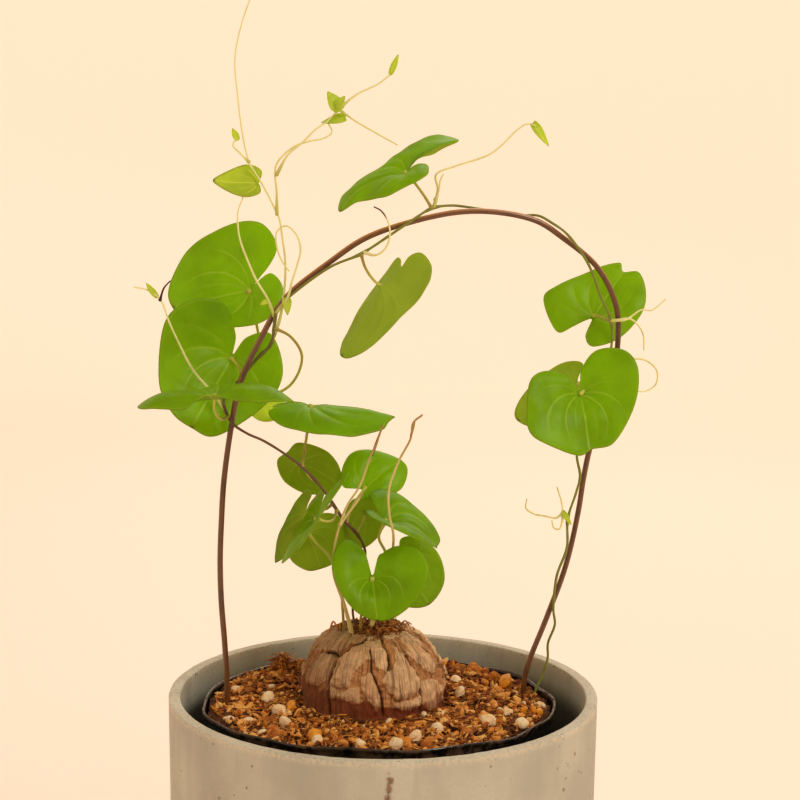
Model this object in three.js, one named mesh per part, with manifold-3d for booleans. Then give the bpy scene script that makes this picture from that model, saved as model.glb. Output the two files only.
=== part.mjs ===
// A potted tortoise plant: a concrete pot, a black grower's pot inside it, bark soil, the corky
// swollen base of the plant and its vine, which climbs a hoop of brown wire.
// Millimetres, +Z up. The origin is the middle of the concrete pot's flat base, and -Y is the front.
import * as THREE from "three";
import { mergeVertices } from "three/addons/utils/BufferGeometryUtils.js";
import Module from "manifold-3d";

const wasm = await Module();
wasm.setup();

const GAP = 0.3; // clearance between pieces that touch
const ROUND_SIDES = 44; // facets around the pots

// Concrete pot
const POT_RADIUS = 75;
const POT_HEIGHT = 130;
const POT_WALL = 4;
const POT_FLOOR = 8;
const POT_DRAFT = 1.3; // how much narrower the foot is than the rim
const POT_WORN_EDGE = 0.6;

// Grower's pot, which stands on the concrete pot's floor
const LINER_X = -1.5;
const LINER_RIM_RADIUS = 60.8;
const LINER_FOOT_RADIUS = 46;
const LINER_WALL = 0.9;
const LINER_RIM_Z = 125.8;
const LINER_FOOT_Z = POT_FLOOR + GAP;
const LINER_LIP = 1.6;
const LINER_TILT = 1.1; // the front of the rim stands this much above its middle
const LINER_WAVE = 0.5; // how far the soft rim waves
const LINER_WAVES = 4; // sideways, around the rim
const LINER_LIFTS = 3; // up and down, around the rim
const LINER_SOFT_Z = [105.8, 123.8]; // the wall starts to wave at the first, and waves fully at the second
const LINER_WAIST_Z = 100;
const LINER_LIP_STEP = 0.7; // how far the lip stands out

// Soil
const SOIL_Z = 124.2;
const SOIL_LUMP = 0.7;
const SOIL_SIDE_GAP = 0.5;
const SOIL_EDGE = 0.5; // bevel at the wall
const SOIL_SIDE_Z = [60, 100, 122.2]; // rows of points down its side
const SOIL_RINGS = [57, 52, 47, 42, 37, 32, 27, 18, 9]; // rows of points across its top
const SOIL_GRAINS = 60;
const GRAIN_REACH = 56.5; // from the liner's axis
const GRAIN_ROOM = 1; // beside the caudex
const GRAIN_FLATNESS = [0.6, 1];
const GRAIN_RISE = 0.8;
const GRAIN_SIZE = [1.8, 3.2];
const GRAIN_SINK = 0.1; // share of a grain's half size that its middle lies below the soil
const FOOT_CLEARANCE = 5; // grains keep this far from where the wire and the vine go in
const FEET = [[-54.4, -3], [49.8, 12.3], [54, 12.9]];

// Caudex, the swollen base
const CAUDEX = { x: -3.7, y: 7, z: 126, radius: 25.8, rise: 26.5, depth: 14 };
const CAUDEX_SQUARENESS = 2.5; // 2 is an ellipsoid, and more stands squarer
const CAUDEX_FACETS = [48, 18]; // around, from bottom to top
const SEAT_FACETS = [28, 10];
const SEAT_CLEARANCE = 0.9; // room for the plates that stand out
const PLATE_ROWS = [9, 9, 7, 4]; // corky plates in each row, from the soil up
const PLATE_STEP = 1.1; // how much plates differ in height
const CRACK_DEPTH = 1.7;
const CRACK_WIDTH = 0.14; // in radii
const PLATE_RISE = 0.36; // angle from one row of plates to the next, in radians
const PLATE_FIRST_RISE = 0.15;
const PLATE_STRAY = 0.5; // how far plates stray around, in plates
const PLATE_RISE_STRAY = 0.16;
const PLATES_FROM = -0.35; // plates fade out below the soil, in depths

// Stems and wire
const WIRE_RADIUS = 1;
const VINE_RADIUS = 0.5;
const SHOOT_RADIUS = 0.4;
const PETIOLE_RADIUS = 0.45;
const WIRE_FACETS = { sides: 6, step: 7.5 };
const WIRE_HOLE_FACETS = { sides: 8, step: 7.5 };
const VINE_FACETS = { sides: 5, step: 5 };
const VINE_HOLE_FACETS = { sides: 8, step: 5 };
const SHOOT_FACETS = { sides: 4, step: 7 };
const PETIOLE_FACETS = { sides: 4, step: 5 };
const LEAST_STEPS = 3;
const SEARCH_POINTS = 1500; // along the vine, to find where a petiole starts

// Leaf blades
const BLADE_THICKNESS = 0.75;
const BLADE_RINGS = 2;
const BLADE_STEPS = 2; // facets from one outline point to the next
const BLADE_SPAN = 20; // the distance from the joint at which cup, droop and wave have their full size
const FOLD_SOFTNESS = 3;
const LEAFLET_SIDES = 6;
const LEAFLET_NARROWING = 0.25; // towards its tip

// The hoop stands in an upright plane that runs a little deeper on the right.
const HOOP_Y = 5;
const HOOP_TURN = 0.147;
const hoopDepth = (x) => HOOP_Y + HOOP_TURN * x;

// The wire's route in that plane: across, up
const HOOP = [
  [-54.5, 95], [-54.4, 124.5], [-55.3, 146], [-56.5, 163], [-56.8, 177], [-56.3, 191], [-55.4, 205],
  [-52.8, 224], [-49.8, 238.5], [-42.8, 254], [-34.7, 267.5], [-19.5, 280], [-7.7, 288], [7.5, 293.5],
  [24, 297], [38, 297], [51.5, 294], [60.3, 288.5], [73, 278], [80, 264.5], [81, 252.5], [78.6, 235],
  [72.3, 215.5], [70, 203.5], [68.4, 191.5], [64.4, 172], [57.7, 152.5], [51.3, 135], [49.8, 124.5],
  [48.5, 95],
];

// The vine's route: across, in front of the hoop's plane (minus) or behind it, up
const VINE = [
  [-9, 1, 148], [-11, 0, 157], [-10, -1, 165], [-7.4, -3, 174.5], [-6.8, -4, 180], [-9, -4, 185],
  [-14.5, -4, 191.5], [-21.7, -3, 202], [-28, -2.5, 209], [-35, -2.2, 214.5], [-42, -2.2, 219],
  [-47.5, -2.2, 221.6], [-52.5, -2.4, 225.5], [-55.4, 0, 232.8], [-50.1, 2.3, 239.4],
  [-44.5, 1.8, 246.5], [-39.4, 0, 252], [-38.2, -1.6, 258.3], [-37.3, -2.2, 263.4],
  [-34.3, -2.2, 267.2], [-19.5, -1.9, 278.3], [-9, -1.4, 282.8], [0.5, -2, 289], [6.4, -2.2, 293],
  [15, -0.8, 298.3], [21.6, 1.2, 299.2], [27.1, 2.3, 298.7], [35, 2.3, 297.5], [46, 2.3, 296],
  [52, 1.2, 295.8], [56.5, -1, 293.5], [61.5, -2, 290], [68.3, -2.3, 281.4], [71, -2.2, 276.3],
  [74.2, -2.2, 268], [77.8, -2.2, 260.5], [78.6, -2.2, 252.8], [77, -2.2, 243], [73.2, -2.2, 230],
  [67.2, -2.2, 213.3], [68.5, -2.2, 204.6], [67.3, -2.3, 199], [64.5, -2.2, 189.4],
  [64.4, -2.2, 179], [61, -2.2, 168.6], [60.1, -2.3, 156.4], [60.8, -1.6, 151], [58.6, 0, 143.5],
  [58.6, 0, 138], [56.5, 0, 131], [54, 0, 124.5], [53.5, 0, 112],
];

// Side shoots: the routes of their strands in millimetres, and small leaves and buds, which run from
// one point to another. The first strand starts on the stem named in from.
const SHOOTS = [
  {
    name: "long_shoot", from: "vine",
    strands: [
      [[-39.5, 0, 252], [-36.8, 6, 260], [-35.4, 8, 270], [-35.2, 9, 279.5], [-36.1, 9, 286.7],
        [-37.2, 8, 294.2], [-38.6, 8, 297.2], [-41.7, 8, 303.5], [-44.5, 8, 308.3], [-47.5, 8, 313.3],
        [-50, 9, 323.8], [-51.5, 10, 335.5], [-52.6, 12, 347.6], [-51, 14, 357.8], [-47.8, 16, 368],
        [-45.2, 18, 374]],
      [[-47.5, 8, 313.3], [-50.6, 8, 316.3], [-53, 8, 319], [-51.6, 8, 321.2]],
      [[-38, 8, 295.5], [-38, 7, 303], [-38.1, 6, 312.4], [-32.2, 6, 318.6], [-26.7, 7, 320.6],
        [-21.8, 8, 321.7], [-19.3, 8, 323.7], [-21, 8, 327.2]],
      [[-38, 6, 309], [-34.1, 4.8, 315.9], [-29.3, 5, 320], [-24.6, 6, 324.7], [-21, 8, 327.2],
        [-17, 8, 331.5]],
      [[-17, 8, 331.5], [-11.9, 9, 327.9], [-3.7, 12, 323.2], [3, 13, 319.6]],
      [[-17, 8, 331.5], [-11.2, 9, 336.3], [-6.5, 10, 338.7], [-3.8, 10, 340], [0.2, 10, 343.1]],
    ],
    leaves: [
      { from: [-43.5, 8, 306], to: [-59.5, 8.5, 307], width: 11, up: [-0.2, -0.8, 0.5] },
      { from: [-15, 8, 328.5], to: [-22.5, 8, 327], width: 4, up: [0, -0.5, 0.8] },
      { from: [-17, 8, 331.5], to: [-19.5, 8, 337], width: 5.5, up: [0.5, -0.8, 0.2] },
      { from: [-51.2, 8, 320.5], to: [-53.2, 8, 324.6], width: 2.4, up: [0, -1, 0] },
      { from: [0.2, 10, 343], to: [3, 10, 350], width: 2.2, up: [0, -1, 0] },
    ],
  },
  {
    name: "loop_shoot", from: "vine",
    strands: [
      [[-37, -1, 263], [-33.5, -3.5, 268.5], [-32.4, -1, 273], [-30.8, 2, 278.5], [-29.6, 3, 284],
        [-31, 3, 289], [-34.6, 3.5, 292], [-37.8, 3.8, 289.8], [-37.6, 4, 284.3], [-35.8, 4.5, 279.5],
        [-33.6, 4.5, 276.5]],
    ],
    leaves: [
      { from: [-34, -3.5, 268], to: [-33.4, -5, 262.5], width: 3.4, up: [0.3, -0.9, 0] },
    ],
  },
  {
    name: "pale_shoot", from: "vine",
    strands: [
      [[-37.5, -2, 261], [-40.7, -1, 267.7], [-44.5, 1, 273.5], [-47.2, 2, 279.3], [-50.2, 3, 287.1],
        [-51, 4, 291.7], [-51.1, 5, 296.4], [-49.4, 6, 301.5]],
    ],
    leaves: [
      { from: [-40.2, -1.5, 267], to: [-43, -2.5, 265.5], width: 1.8, up: [0, -1, 0] },
    ],
  },
  {
    name: "left_shoot", from: "vine",
    strands: [
      [[-54, -3, 229.5], [-59.7, 0, 235.1], [-64.5, -2, 241], [-67.2, -4, 245.7], [-70, -5, 251.8],
        [-73.3, -6, 259.4], [-76.5, -6, 267.5], [-80.8, -6, 270.5], [-85.2, -6, 271.4]],
      [[-76.5, -6, 267], [-75.1, -6, 271.2], [-73, -5.5, 273.6]],
    ],
    leaves: [
      { from: [-77.2, -6, 267.8], to: [-81, -6.5, 272.8], width: 2.2, up: [0, -1, 0] },
    ],
  },
  {
    name: "top_right_shoot", from: "vine",
    strands: [
      [[15.4, 7, 299], [17, 8, 304.5], [16.3, 8, 309.6], [23.1, 9, 312.7], [30.6, 10, 315.1],
        [34.7, 10, 316.8], [38.7, 10, 319.9], [43.4, 10, 324.7], [47.1, 10, 327.1], [50, 10, 326.6]],
      [[16, 7.5, 301], [17.3, 5.5, 304.6], [17.8, 5, 308], [18.8, 5, 310]],
    ],
    leaves: [
      { from: [49.4, 10, 327.2], to: [54.8, 10, 319.8], width: 3.6, up: [0.3, -0.9, 0.3] },
    ],
  },
  {
    name: "arch_tendril", from: "vine",
    strands: [
      [[-8.3, 2, 282.9], [-4.2, 0, 282.6], [-1.1, 0, 284.4], [0.8, 0, 289.2], [0.1, 1, 293.9],
        [-2.3, 2, 297.5], [-4.7, 2, 298.8]],
    ],
    leaves: [],
  },
  {
    name: "right_upper_shoot", from: "vine",
    strands: [
      [[77, 14, 259.5], [80.2, 14.2, 259.6], [83.2, 14.5, 260], [85.6, 16, 261.2], [88.6, 16, 263.3],
        [92.5, 16, 263.3], [97.2, 16, 267.2]],
      [[77.9, 14.2, 259.5], [81, 14.4, 260], [84.5, 15.4, 260.3], [87.2, 16.5, 258.6],
        [89.7, 17, 254.8], [90.2, 17, 249.1]],
    ],
    leaves: [],
  },
  {
    name: "right_lower_shoot", from: "vine",
    strands: [
      [[77, 14, 243], [82, 12.5, 245.5], [87.2, 14, 246.4], [91.6, 16, 245.2], [95, 17, 241.7],
        [94.8, 17, 237.1], [91.2, 16, 234.7], [86, 12, 235.4]],
    ],
    leaves: [
      { from: [84.5, 13, 245.6], to: [87.5, 12, 240.5], width: 2.4, up: [0, -1, 0] },
    ],
  },
  {
    name: "low_right_shoot", from: "vine",
    strands: [
      [[64.7, 11, 188.9], [62.7, 10, 192.2], [61.8, 9.5, 196.4], [60.2, 9.5, 201.2]],
      [[62.7, 10, 192.2], [60.1, 9, 190.4], [56.2, 9, 191], [52.3, 9, 191.7], [49.4, 9, 193.8],
        [49.7, 9, 197]],
      [[62.7, 10, 192.2], [61.4, 9, 186.5], [59.4, 9, 186.8], [58.6, 9, 189.4]],
    ],
    leaves: [
      { from: [62.2, 9.6, 193], to: [65.4, 8.4, 188], width: 2, up: [0, -1, 0] },
    ],
  },
  {
    name: "dry_stem_left", from: "crown",
    strands: [
      [[-11, -1, 150], [-14, -3, 162], [-17.4, -6, 172.8], [-17.2, -9, 182.7], [-15.2, -9.5, 191.7],
        [-12.6, -9, 198.2], [-8.7, -9, 204.4], [-5.4, -10, 213.9], [-2.6, -11, 221], [-0.9, -12, 226.2]],
      [[-15.4, -9.5, 191], [-12, -7.5, 195.5], [-9.5, -6, 198.6], [-7.6, -4, 201]],
    ],
    leaves: [
      { from: [-5, -10, 214], to: [-1.4, -11.8, 225], width: 2, up: [0, -1, 0] },
    ],
  },
  {
    name: "dry_stem_right", from: "crown",
    strands: [
      [[-5, 1, 150], [-2.1, -1, 162.9], [1.3, -3.5, 172.8], [2.8, -6.5, 181.8], [2.9, -15.4, 190.3],
        [1.8, -17, 195.3], [1.2, -17, 202.2], [1.7, -14, 206.1], [4.7, -12, 214.1],
        [8.6, -12, 221.9], [9.3, -12, 227], [12.4, -12, 229.8]],
    ],
    leaves: [
      { from: [8.5, -12, 221.5], to: [10.4, -12, 228.6], width: 1.8, up: [0, -1, 0] },
    ],
  },
];

// Leaves. joint is where the petiole meets the blade, tip the way the midrib runs, face the way the
// upper side looks. edge is the outline in the blade's plane, right and tipward of the joint, from
// the tip round clockwise as the face shows it. stalk is the petiole's route from its stem.
const LEAVES = [
  {
    name: "leaf_upper_left", joint: [-48.6, 20, 268.4], tip: [-0.97, 0.07, -0.24],
    face: [-0.15, -0.9, 0.35],
    edge: [[0, 28], [9, 27.5], [20, 17], [24.5, 2], [22, -9], [13, -13], [6, -8], [1.5, -2.1], [4, -9],
      [-3, -12], [-12, -6], [-13, 5], [-8, 20]],
    fold: 0.12, cup: 1, droop: 1.5, wave: 0.6, from: "vine",
    stalk: [[-43, 0.5, 248.5], [-43, 6, 253], [-45, 15, 261]],
  },
  {
    name: "leaf_left", joint: [-53.8, 9.5, 245.7], tip: [-0.48, -0.2, -0.85], face: [0.1, -0.97, 0.15],
    edge: [[0, 28], [9, 26.5], [18, 19], [26, 1], [22, -10], [12, -15], [3, -8], [0.3, -1.5], [-1, -9],
      [-8, -14], [-18, -4], [-18, 9], [-9, 26]],
    fold: 0.1, cup: 1.5, droop: -1.5, wave: 0.8, from: "vine",
    stalk: [[-50, 0, 239.5], [-50.5, 5, 242.5]],
  },
  {
    name: "leaf_left_front", joint: [-57, -15, 240], tip: [-0.1, -1, 0.05], face: [-0.1, 0.05, 1],
    edge: [[0, 22], [9, 19], [19, 13], [24.5, 3], [22, -6], [12, -9], [4, -6], [0, -1.5], [-5, -6],
      [-13, -9], [-22, -7], [-25, 2], [-20, 12], [-9, 19]],
    fold: 0.05, cup: -1, droop: 1, wave: 1.2, from: "vine",
    stalk: [[-53.5, -5, 227.5], [-55, -11, 232.5]],
  },
  {
    name: "leaf_inner_left", joint: [-26, 6, 223.7], tip: [1, -0.05, 0.08], face: [-0.05, -0.12, 1],
    edge: [[0, 29.5], [6, 25], [13, 14], [15, 3], [12, -9], [5, -14], [1.5, -8], [0, -1.5], [-2, -8],
      [-6, -14], [-13, -9], [-16, 3], [-14, 14], [-6, 25]],
    fold: 0.08, cup: 1, droop: 1.5, wave: 0.4, from: "vine", stalk: [[-29, -1, 209.5], [-28, 3, 215]],
  },
  {
    name: "leaf_arch_top", joint: [5.7, 10, 310.4], tip: [-0.91, 0.05, -0.41],
    face: [-0.4, -0.35, 0.85],
    edge: [[0, 25.5], [8, 22], [14, 10], [17, 0], [18, -12], [8, -21], [6, -12], [0.5, -2], [-3, -8],
      [-12, -7], [-15, 0], [-13, 9], [-5, 17]],
    fold: 0.12, cup: 0, droop: 2, wave: 0.4, from: "vine",
    stalk: [[14.5, 6.8, 298.5], [12, 6, 303], [8.5, 7, 307.5]],
  },
  {
    name: "leaf_arch_hanging", joint: [-1.3, 5, 271.2], tip: [-0.57, 0, -0.82],
    face: [0.75, 0.41, -0.52],
    edge: [[0, 28], [8, 24], [13, 13], [15.5, 1], [17, -8], [13, -15.5], [6.5, -17.5], [3, -9], [0, -1.5],
      [-4, -8], [-10, -10], [-14, -3], [-13, 11], [-6, 28]],
    fold: 0.33, cup: 0.7, droop: 0, wave: 0.3, from: "vine",
    stalk: [[-9, 2, 282.6], [-7.5, 3.5, 278], [-4.5, 4.5, 273.6]],
  },
  {
    name: "leaf_right_back", joint: [73.3, 26, 260], tip: [0.55, 0.29, 0.79], face: [-0.1, -0.9, 0.4],
    edge: [[0, 19.5], [5, 22], [11, 17], [14, 9], [12, -3], [6, -10], [1.5, -8], [0, -1.5], [-4, -7],
      [-8, -12], [-18, -5], [-17, 2], [-9, 15], [-3, 21.5]],
    fold: 0.08, cup: 1, droop: 0.5, wave: 0.5, from: "vine",
    stalk: [[77.5, 14, 259], [76, 18, 260], [74.5, 22.5, 260.5]],
  },
  {
    name: "leaf_right_front", joint: [66.9, 2, 235.5], tip: [0.12, -0.35, -0.93],
    face: [0.1, -0.9, 0.35],
    edge: [[0, 19.5], [7, 21.5], [17, 15], [22, 9], [18, -4], [11, -9], [5, -7], [0.3, -1.2], [-3, -10],
      [-12, -15], [-21, -11], [-22, -3], [-17, 8], [-7, 18.5]],
    fold: 0.12, cup: 1.5, droop: -0.5, wave: 0.6, from: "vine",
    stalk: [[76, 13.5, 240], [74, 9, 239.5], [70, 4.5, 238]],
  },
  {
    name: "leaf_right_hidden", joint: [67.2, 27, 235.2], tip: [-0.78, 0.27, -0.56],
    face: [0.1, 0.9, 0.3],
    edge: [[0, 25.5], [7, 21], [12, 12], [11, 0], [5, -7], [0, -1.5], [-5, -7], [-9, -1], [-9, 11],
      [-5, 22]],
    fold: 0.1, cup: 1, droop: 1, wave: 0.3, from: "vine",
    stalk: [[76.5, 13.5, 241.5], [76, 20, 240], [71, 25.5, 237]],
  },
  {
    name: "leaf_cluster_olive", joint: [-30.2, 11, 209.3], tip: [0.76, 0.39, -0.52],
    face: [-0.2, 0.85, 0.35],
    edge: [[0, 19], [6, 13], [8, 4], [5, -4], [0, -1.5], [-5, -5], [-10, 1], [-10, 10], [-6, 17.5]],
    fold: 0.15, cup: 1, droop: 1, wave: 0.2, from: "vine",
    stalk: [[-24.5, 0, 205], [-26, 5, 204.5], [-28.5, 9.5, 207.3]],
  },
  {
    name: "leaf_cluster_green", joint: [-7.1, 12.5, 199.8], tip: [0.72, 0.47, 0.51],
    face: [0.1, -0.8, 0.6],
    edge: [[0, 17.5], [5, 16], [8.5, 9], [6, 0], [2, -5], [0, -1.5], [-5, -6], [-11, -1], [-13, 6],
      [-8, 13.5]],
    fold: 0.1, cup: 1, droop: 1, wave: 0.4, from: "vine",
    stalk: [[-13, -1.5, 190], [-12, 3, 194], [-9, 10, 197.5]],
  },
  {
    name: "leaf_cluster_left", joint: [-28, 1, 192.4], tip: [-0.47, 0, -0.88],
    face: [-0.82, 0.35, 0.45],
    edge: [[0, 20], [6, 17], [12, 9], [13, 0], [8, -9], [3, -8], [0, -1.5], [-3, -8], [-9, -9],
      [-13, 1], [-11, 10], [-5, 17]],
    fold: 0.1, cup: 1, droop: 1, wave: 0.3, from: "vine",
    stalk: [[-18, -1, 196.5], [-20.5, 0.5, 194.5], [-24.5, 1, 193.7]],
  },
  {
    name: "leaf_cluster_front", joint: [-23.2, -17, 194.9], tip: [-0.57, -0.1, -0.82],
    face: [-0.78, -0.25, 0.55],
    edge: [[0, 19], [5, 16], [9.5, 8], [10.5, -3], [7, -15], [3, -12], [0, -1.5], [-3, -10],
      [-7, -15], [-11, -3], [-10, 8], [-5, 16]],
    fold: 0.12, cup: 1, droop: 0.5, wave: 0.2, from: "vine",
    stalk: [[-16.5, -1.5, 194], [-17.5, -7, 192.5], [-20, -13, 193]],
  },
  {
    name: "leaf_cluster_back", joint: [-27.7, 16, 183.1], tip: [0.28, 0.33, -0.9],
    face: [-0.1, 0.9, 0.3],
    edge: [[0, 17], [6, 16], [13, 9], [14, 1], [9, -4], [3, -4], [0, -1.5], [-4, -3], [-9, 4],
      [-9, 11], [-5, 16]],
    fold: 0.1, cup: 1, droop: 1, wave: 0.3, from: "crown",
    stalk: [[-14, 4, 148], [-14.5, 2, 158], [-15.5, 1, 168], [-19, 5, 176], [-24.5, 12, 180]],
  },
  {
    name: "leaf_cluster_middle", joint: [-6.8, 12, 190.9], tip: [-0.04, 0.32, -0.95],
    face: [0.2, 0.9, 0.3],
    edge: [[0, 14.5], [5, 9], [7, 2], [5, -3.5], [1.5, -4], [0, -1.5], [-3, -3], [-7, 4], [-8, 10],
      [-5, 14]],
    fold: 0.12, cup: 1, droop: 1, wave: 0.2, from: "vine",
    stalk: [[-10, -0.5, 186.5], [-9.5, 4, 186.5], [-8, 9.5, 188.5]],
  },
  {
    name: "leaf_cluster_right", joint: [0.4, -4, 191.7], tip: [0.9, 0, -0.43], face: [0.41, -0.2, 0.89],
    edge: [[0, 20], [5, 19], [9.5, 11], [10, 1], [7, -5], [2, -5], [0, -1.5], [-4, -5.5], [-10, -5],
      [-12.5, 2], [-11, 13], [-6, 20]],
    fold: 0.35, cup: 0.5, droop: 1, wave: 0.3, from: "crown",
    stalk: [[-3, 3, 148], [-3.5, 3, 158], [0, 1, 168], [0.5, -1, 179], [-2, -3, 185.5]],
  },
  {
    name: "leaf_front_heart", joint: [-3.9, -15, 173.9], tip: [0.12, -0.5, -0.86],
    face: [0, -0.85, 0.5],
    edge: [[0, 15], [7, 11.5], [12, 3], [13, -7], [8, -14], [2, -10], [0, -1.2], [-3, -7], [-9, -9.5],
      [-16, -7], [-19, 1], [-15, 9], [-7, 14.5]],
    fold: 0.3, cup: 0, droop: -0.5, wave: 0.2, from: "crown",
    stalk: [[-8, 1, 149], [-8, -4, 157], [-6, -11, 166]],
  },
  {
    name: "leaf_heart_shadow", joint: [5.5, 9, 173.5], tip: [0.57, -0.02, -0.82],
    face: [0.25, -0.9, 0.2],
    edge: [[0, 18], [7, 14], [11, 6], [9, -3], [4, -7], [0, -1.5], [-5, -7], [-11, -3], [-13, 6],
      [-9, 15]],
    fold: 0.1, cup: 1, droop: 0.5, wave: 0.3, from: "crown",
    stalk: [[-1, 6, 149], [1, 11, 158], [4, 12, 167]],
  },
  {
    name: "leaf_yellow", joint: [-44.2, 22, 229], tip: [0.9, -0.22, -0.37], face: [-0.1, -0.9, 0.3],
    edge: [[0, 9], [5, 7], [7, 2], [5, -3], [0, -2], [-4, -4], [-6, 2], [-4, 6]],
    fold: 0.1, cup: 0.5, droop: 0.5, wave: 0.1, from: "vine",
    stalk: [[-38.3, -2, 257.5], [-33, 4, 254], [-29.5, 12, 246], [-34, 20, 235]],
  },
];

const COLOURS = {
  concrete: ["#bda98c", 0.85], plastic: ["#141311", 0.25], soil: ["#8a5430", 0.95], cork: ["#a97f58", 0.9],
  wire: ["#5d3417", 0.35], stem: ["#76702c", 0.6], shoot: ["#c9c26a", 0.6], dry: ["#b08d55", 0.8],
  leaf: ["#6b9708", 0.4], shadedLeaf: ["#5e7309", 0.45], yellowLeaf: ["#c9d13c", 0.5],
};

const vector = ([x, y, z]) => new THREE.Vector3(x, y, z);
const curveThrough = (points) => new THREE.CatmullRomCurve3(points);

// A small repeatable random source, so that every build is the same
function randomSource(seed) {
  let state = seed;
  return () => {
    state = (state + 0x6d2b79f5) | 0;
    let mixed = Math.imul(state ^ (state >>> 15), 1 | state);
    mixed = (mixed + Math.imul(mixed ^ (mixed >>> 7), 61 | mixed)) ^ mixed;
    return ((mixed ^ (mixed >>> 14)) >>> 0) / 4294967296;
  };
}

function toSolid(geometry) {
  const bare = geometry.index ? geometry.toNonIndexed() : geometry;
  bare.deleteAttribute("normal");
  bare.deleteAttribute("uv");
  const merged = mergeVertices(bare, 1e-4);
  return new wasm.Manifold(new wasm.Mesh({
    numProp: 3,
    vertProperties: new Float32Array(merged.attributes.position.array),
    triVerts: new Uint32Array(merged.index.array),
  }));
}

function toGeometry(solid) {
  const mesh = solid.getMesh();
  const geometry = new THREE.BufferGeometry();
  geometry.setAttribute("position", new THREE.BufferAttribute(mesh.vertProperties, 3));
  geometry.setIndex(new THREE.BufferAttribute(mesh.triVerts, 1));
  geometry.computeVertexNormals();
  return geometry;
}

function turned(profile, sides) {
  const geometry = new THREE.LatheGeometry(profile.map(([r, z]) => new THREE.Vector2(r, z)), sides);
  return geometry.rotateX(Math.PI / 2);
}

function tube(curve, radius, { sides, step }) {
  const section = new THREE.Shape(Array.from({ length: sides }, (_, i) => {
    const angle = (2 * Math.PI * i) / sides;
    return new THREE.Vector2(radius * Math.cos(angle), radius * Math.sin(angle));
  }));
  const steps = Math.max(LEAST_STEPS, Math.round(curve.getLength() / step));
  return toSolid(new THREE.ExtrudeGeometry(section, { steps, extrudePath: curve, bevelEnabled: false }));
}

function nearestOn(curve, point) {
  const near = curve.getSpacedPoints(SEARCH_POINTS);
  return near.reduce((best, p) => (p.distanceTo(point) < best.distanceTo(point) ? p : best));
}

// Concrete pot
function concretePot() {
  const foot = POT_RADIUS - POT_DRAFT;
  const edge = POT_WORN_EDGE;
  return turned([
    [0, 0], [foot - edge, 0], [foot, edge], [POT_RADIUS, POT_HEIGHT - edge],
    [POT_RADIUS - edge, POT_HEIGHT], [POT_RADIUS - POT_WALL + edge, POT_HEIGHT],
    [POT_RADIUS - POT_WALL, POT_HEIGHT - edge], [foot - POT_WALL, POT_FLOOR], [0, POT_FLOOR],
  ], ROUND_SIDES);
}

// The grower's pot: its rim is soft, so it tilts and waves a little
const linerRadius = (z) => THREE.MathUtils.mapLinear(
  z, LINER_FOOT_Z, LINER_RIM_Z, LINER_FOOT_RADIUS, LINER_RIM_RADIUS,
);

function bendRim(geometry) {
  const position = geometry.attributes.position;
  for (let i = 0; i < position.count; i += 1) {
    const x = position.getX(i);
    const y = position.getY(i);
    const share = THREE.MathUtils.smoothstep(position.getZ(i), ...LINER_SOFT_Z);
    const angle = Math.atan2(y, x);
    const reach = Math.min(1, Math.hypot(x, y) / LINER_RIM_RADIUS);
    const grow = 1 + (share * LINER_WAVE * Math.sin(LINER_WAVES * angle + 1)) / LINER_RIM_RADIUS;
    const wave = LINER_WAVE * Math.sin(LINER_LIFTS * angle) - LINER_TILT * Math.sin(angle);
    position.setXYZ(i, x * grow, y * grow, position.getZ(i) + share * reach * wave);
  }
  return geometry;
}

function growersPot() {
  const inner = (z) => linerRadius(z) - LINER_WALL;
  const lipZ = LINER_RIM_Z - LINER_LIP;
  const lipRadius = LINER_RIM_RADIUS + LINER_LIP_STEP;
  const floorZ = LINER_FOOT_Z + LINER_WALL;
  return bendRim(turned([
    [0, LINER_FOOT_Z], [LINER_FOOT_RADIUS, LINER_FOOT_Z], [linerRadius(LINER_WAIST_Z), LINER_WAIST_Z],
    [linerRadius(lipZ), lipZ], [lipRadius, lipZ], [lipRadius, LINER_RIM_Z],
    [inner(LINER_RIM_Z), LINER_RIM_Z], [inner(LINER_WAIST_Z), LINER_WAIST_Z], [inner(floorZ), floorZ],
    [0, floorZ],
  ], ROUND_SIDES)).translate(LINER_X, 0, 0);
}

// Caudex: a squared ellipsoid whose plates stand at different heights, with cracks between them
function caudexDirections() {
  const random = randomSource(11);
  return PLATE_ROWS.flatMap((count, row) => Array.from({ length: count }, (_, i) => {
    const shift = 0.5 * (row % 2) + PLATE_STRAY * (random() - 0.5);
    const turn = (2 * Math.PI * (i + shift)) / count;
    const rise = PLATE_FIRST_RISE + PLATE_RISE * row + PLATE_RISE_STRAY * (random() - 0.5);
    const at = new THREE.Vector3().setFromSphericalCoords(1, Math.PI / 2 - rise, turn);
    at.set(at.z, at.x, at.y);
    return { at, level: random() - 0.5 };
  }));
}

const PLATES = caudexDirections();

function plateRelief(direction) {
  const byDistance = PLATES.map((plate) => ({ plate, far: plate.at.distanceTo(direction) }));
  byDistance.sort((a, b) => a.far - b.far);
  const [first, second] = byDistance;
  const crack = 1 - THREE.MathUtils.smoothstep(second.far - first.far, 0, CRACK_WIDTH);
  return PLATE_STEP * first.plate.level - CRACK_DEPTH * crack;
}

const squared = (share) => Math.sign(share) * Math.abs(share) ** (2 / CAUDEX_SQUARENESS);

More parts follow.
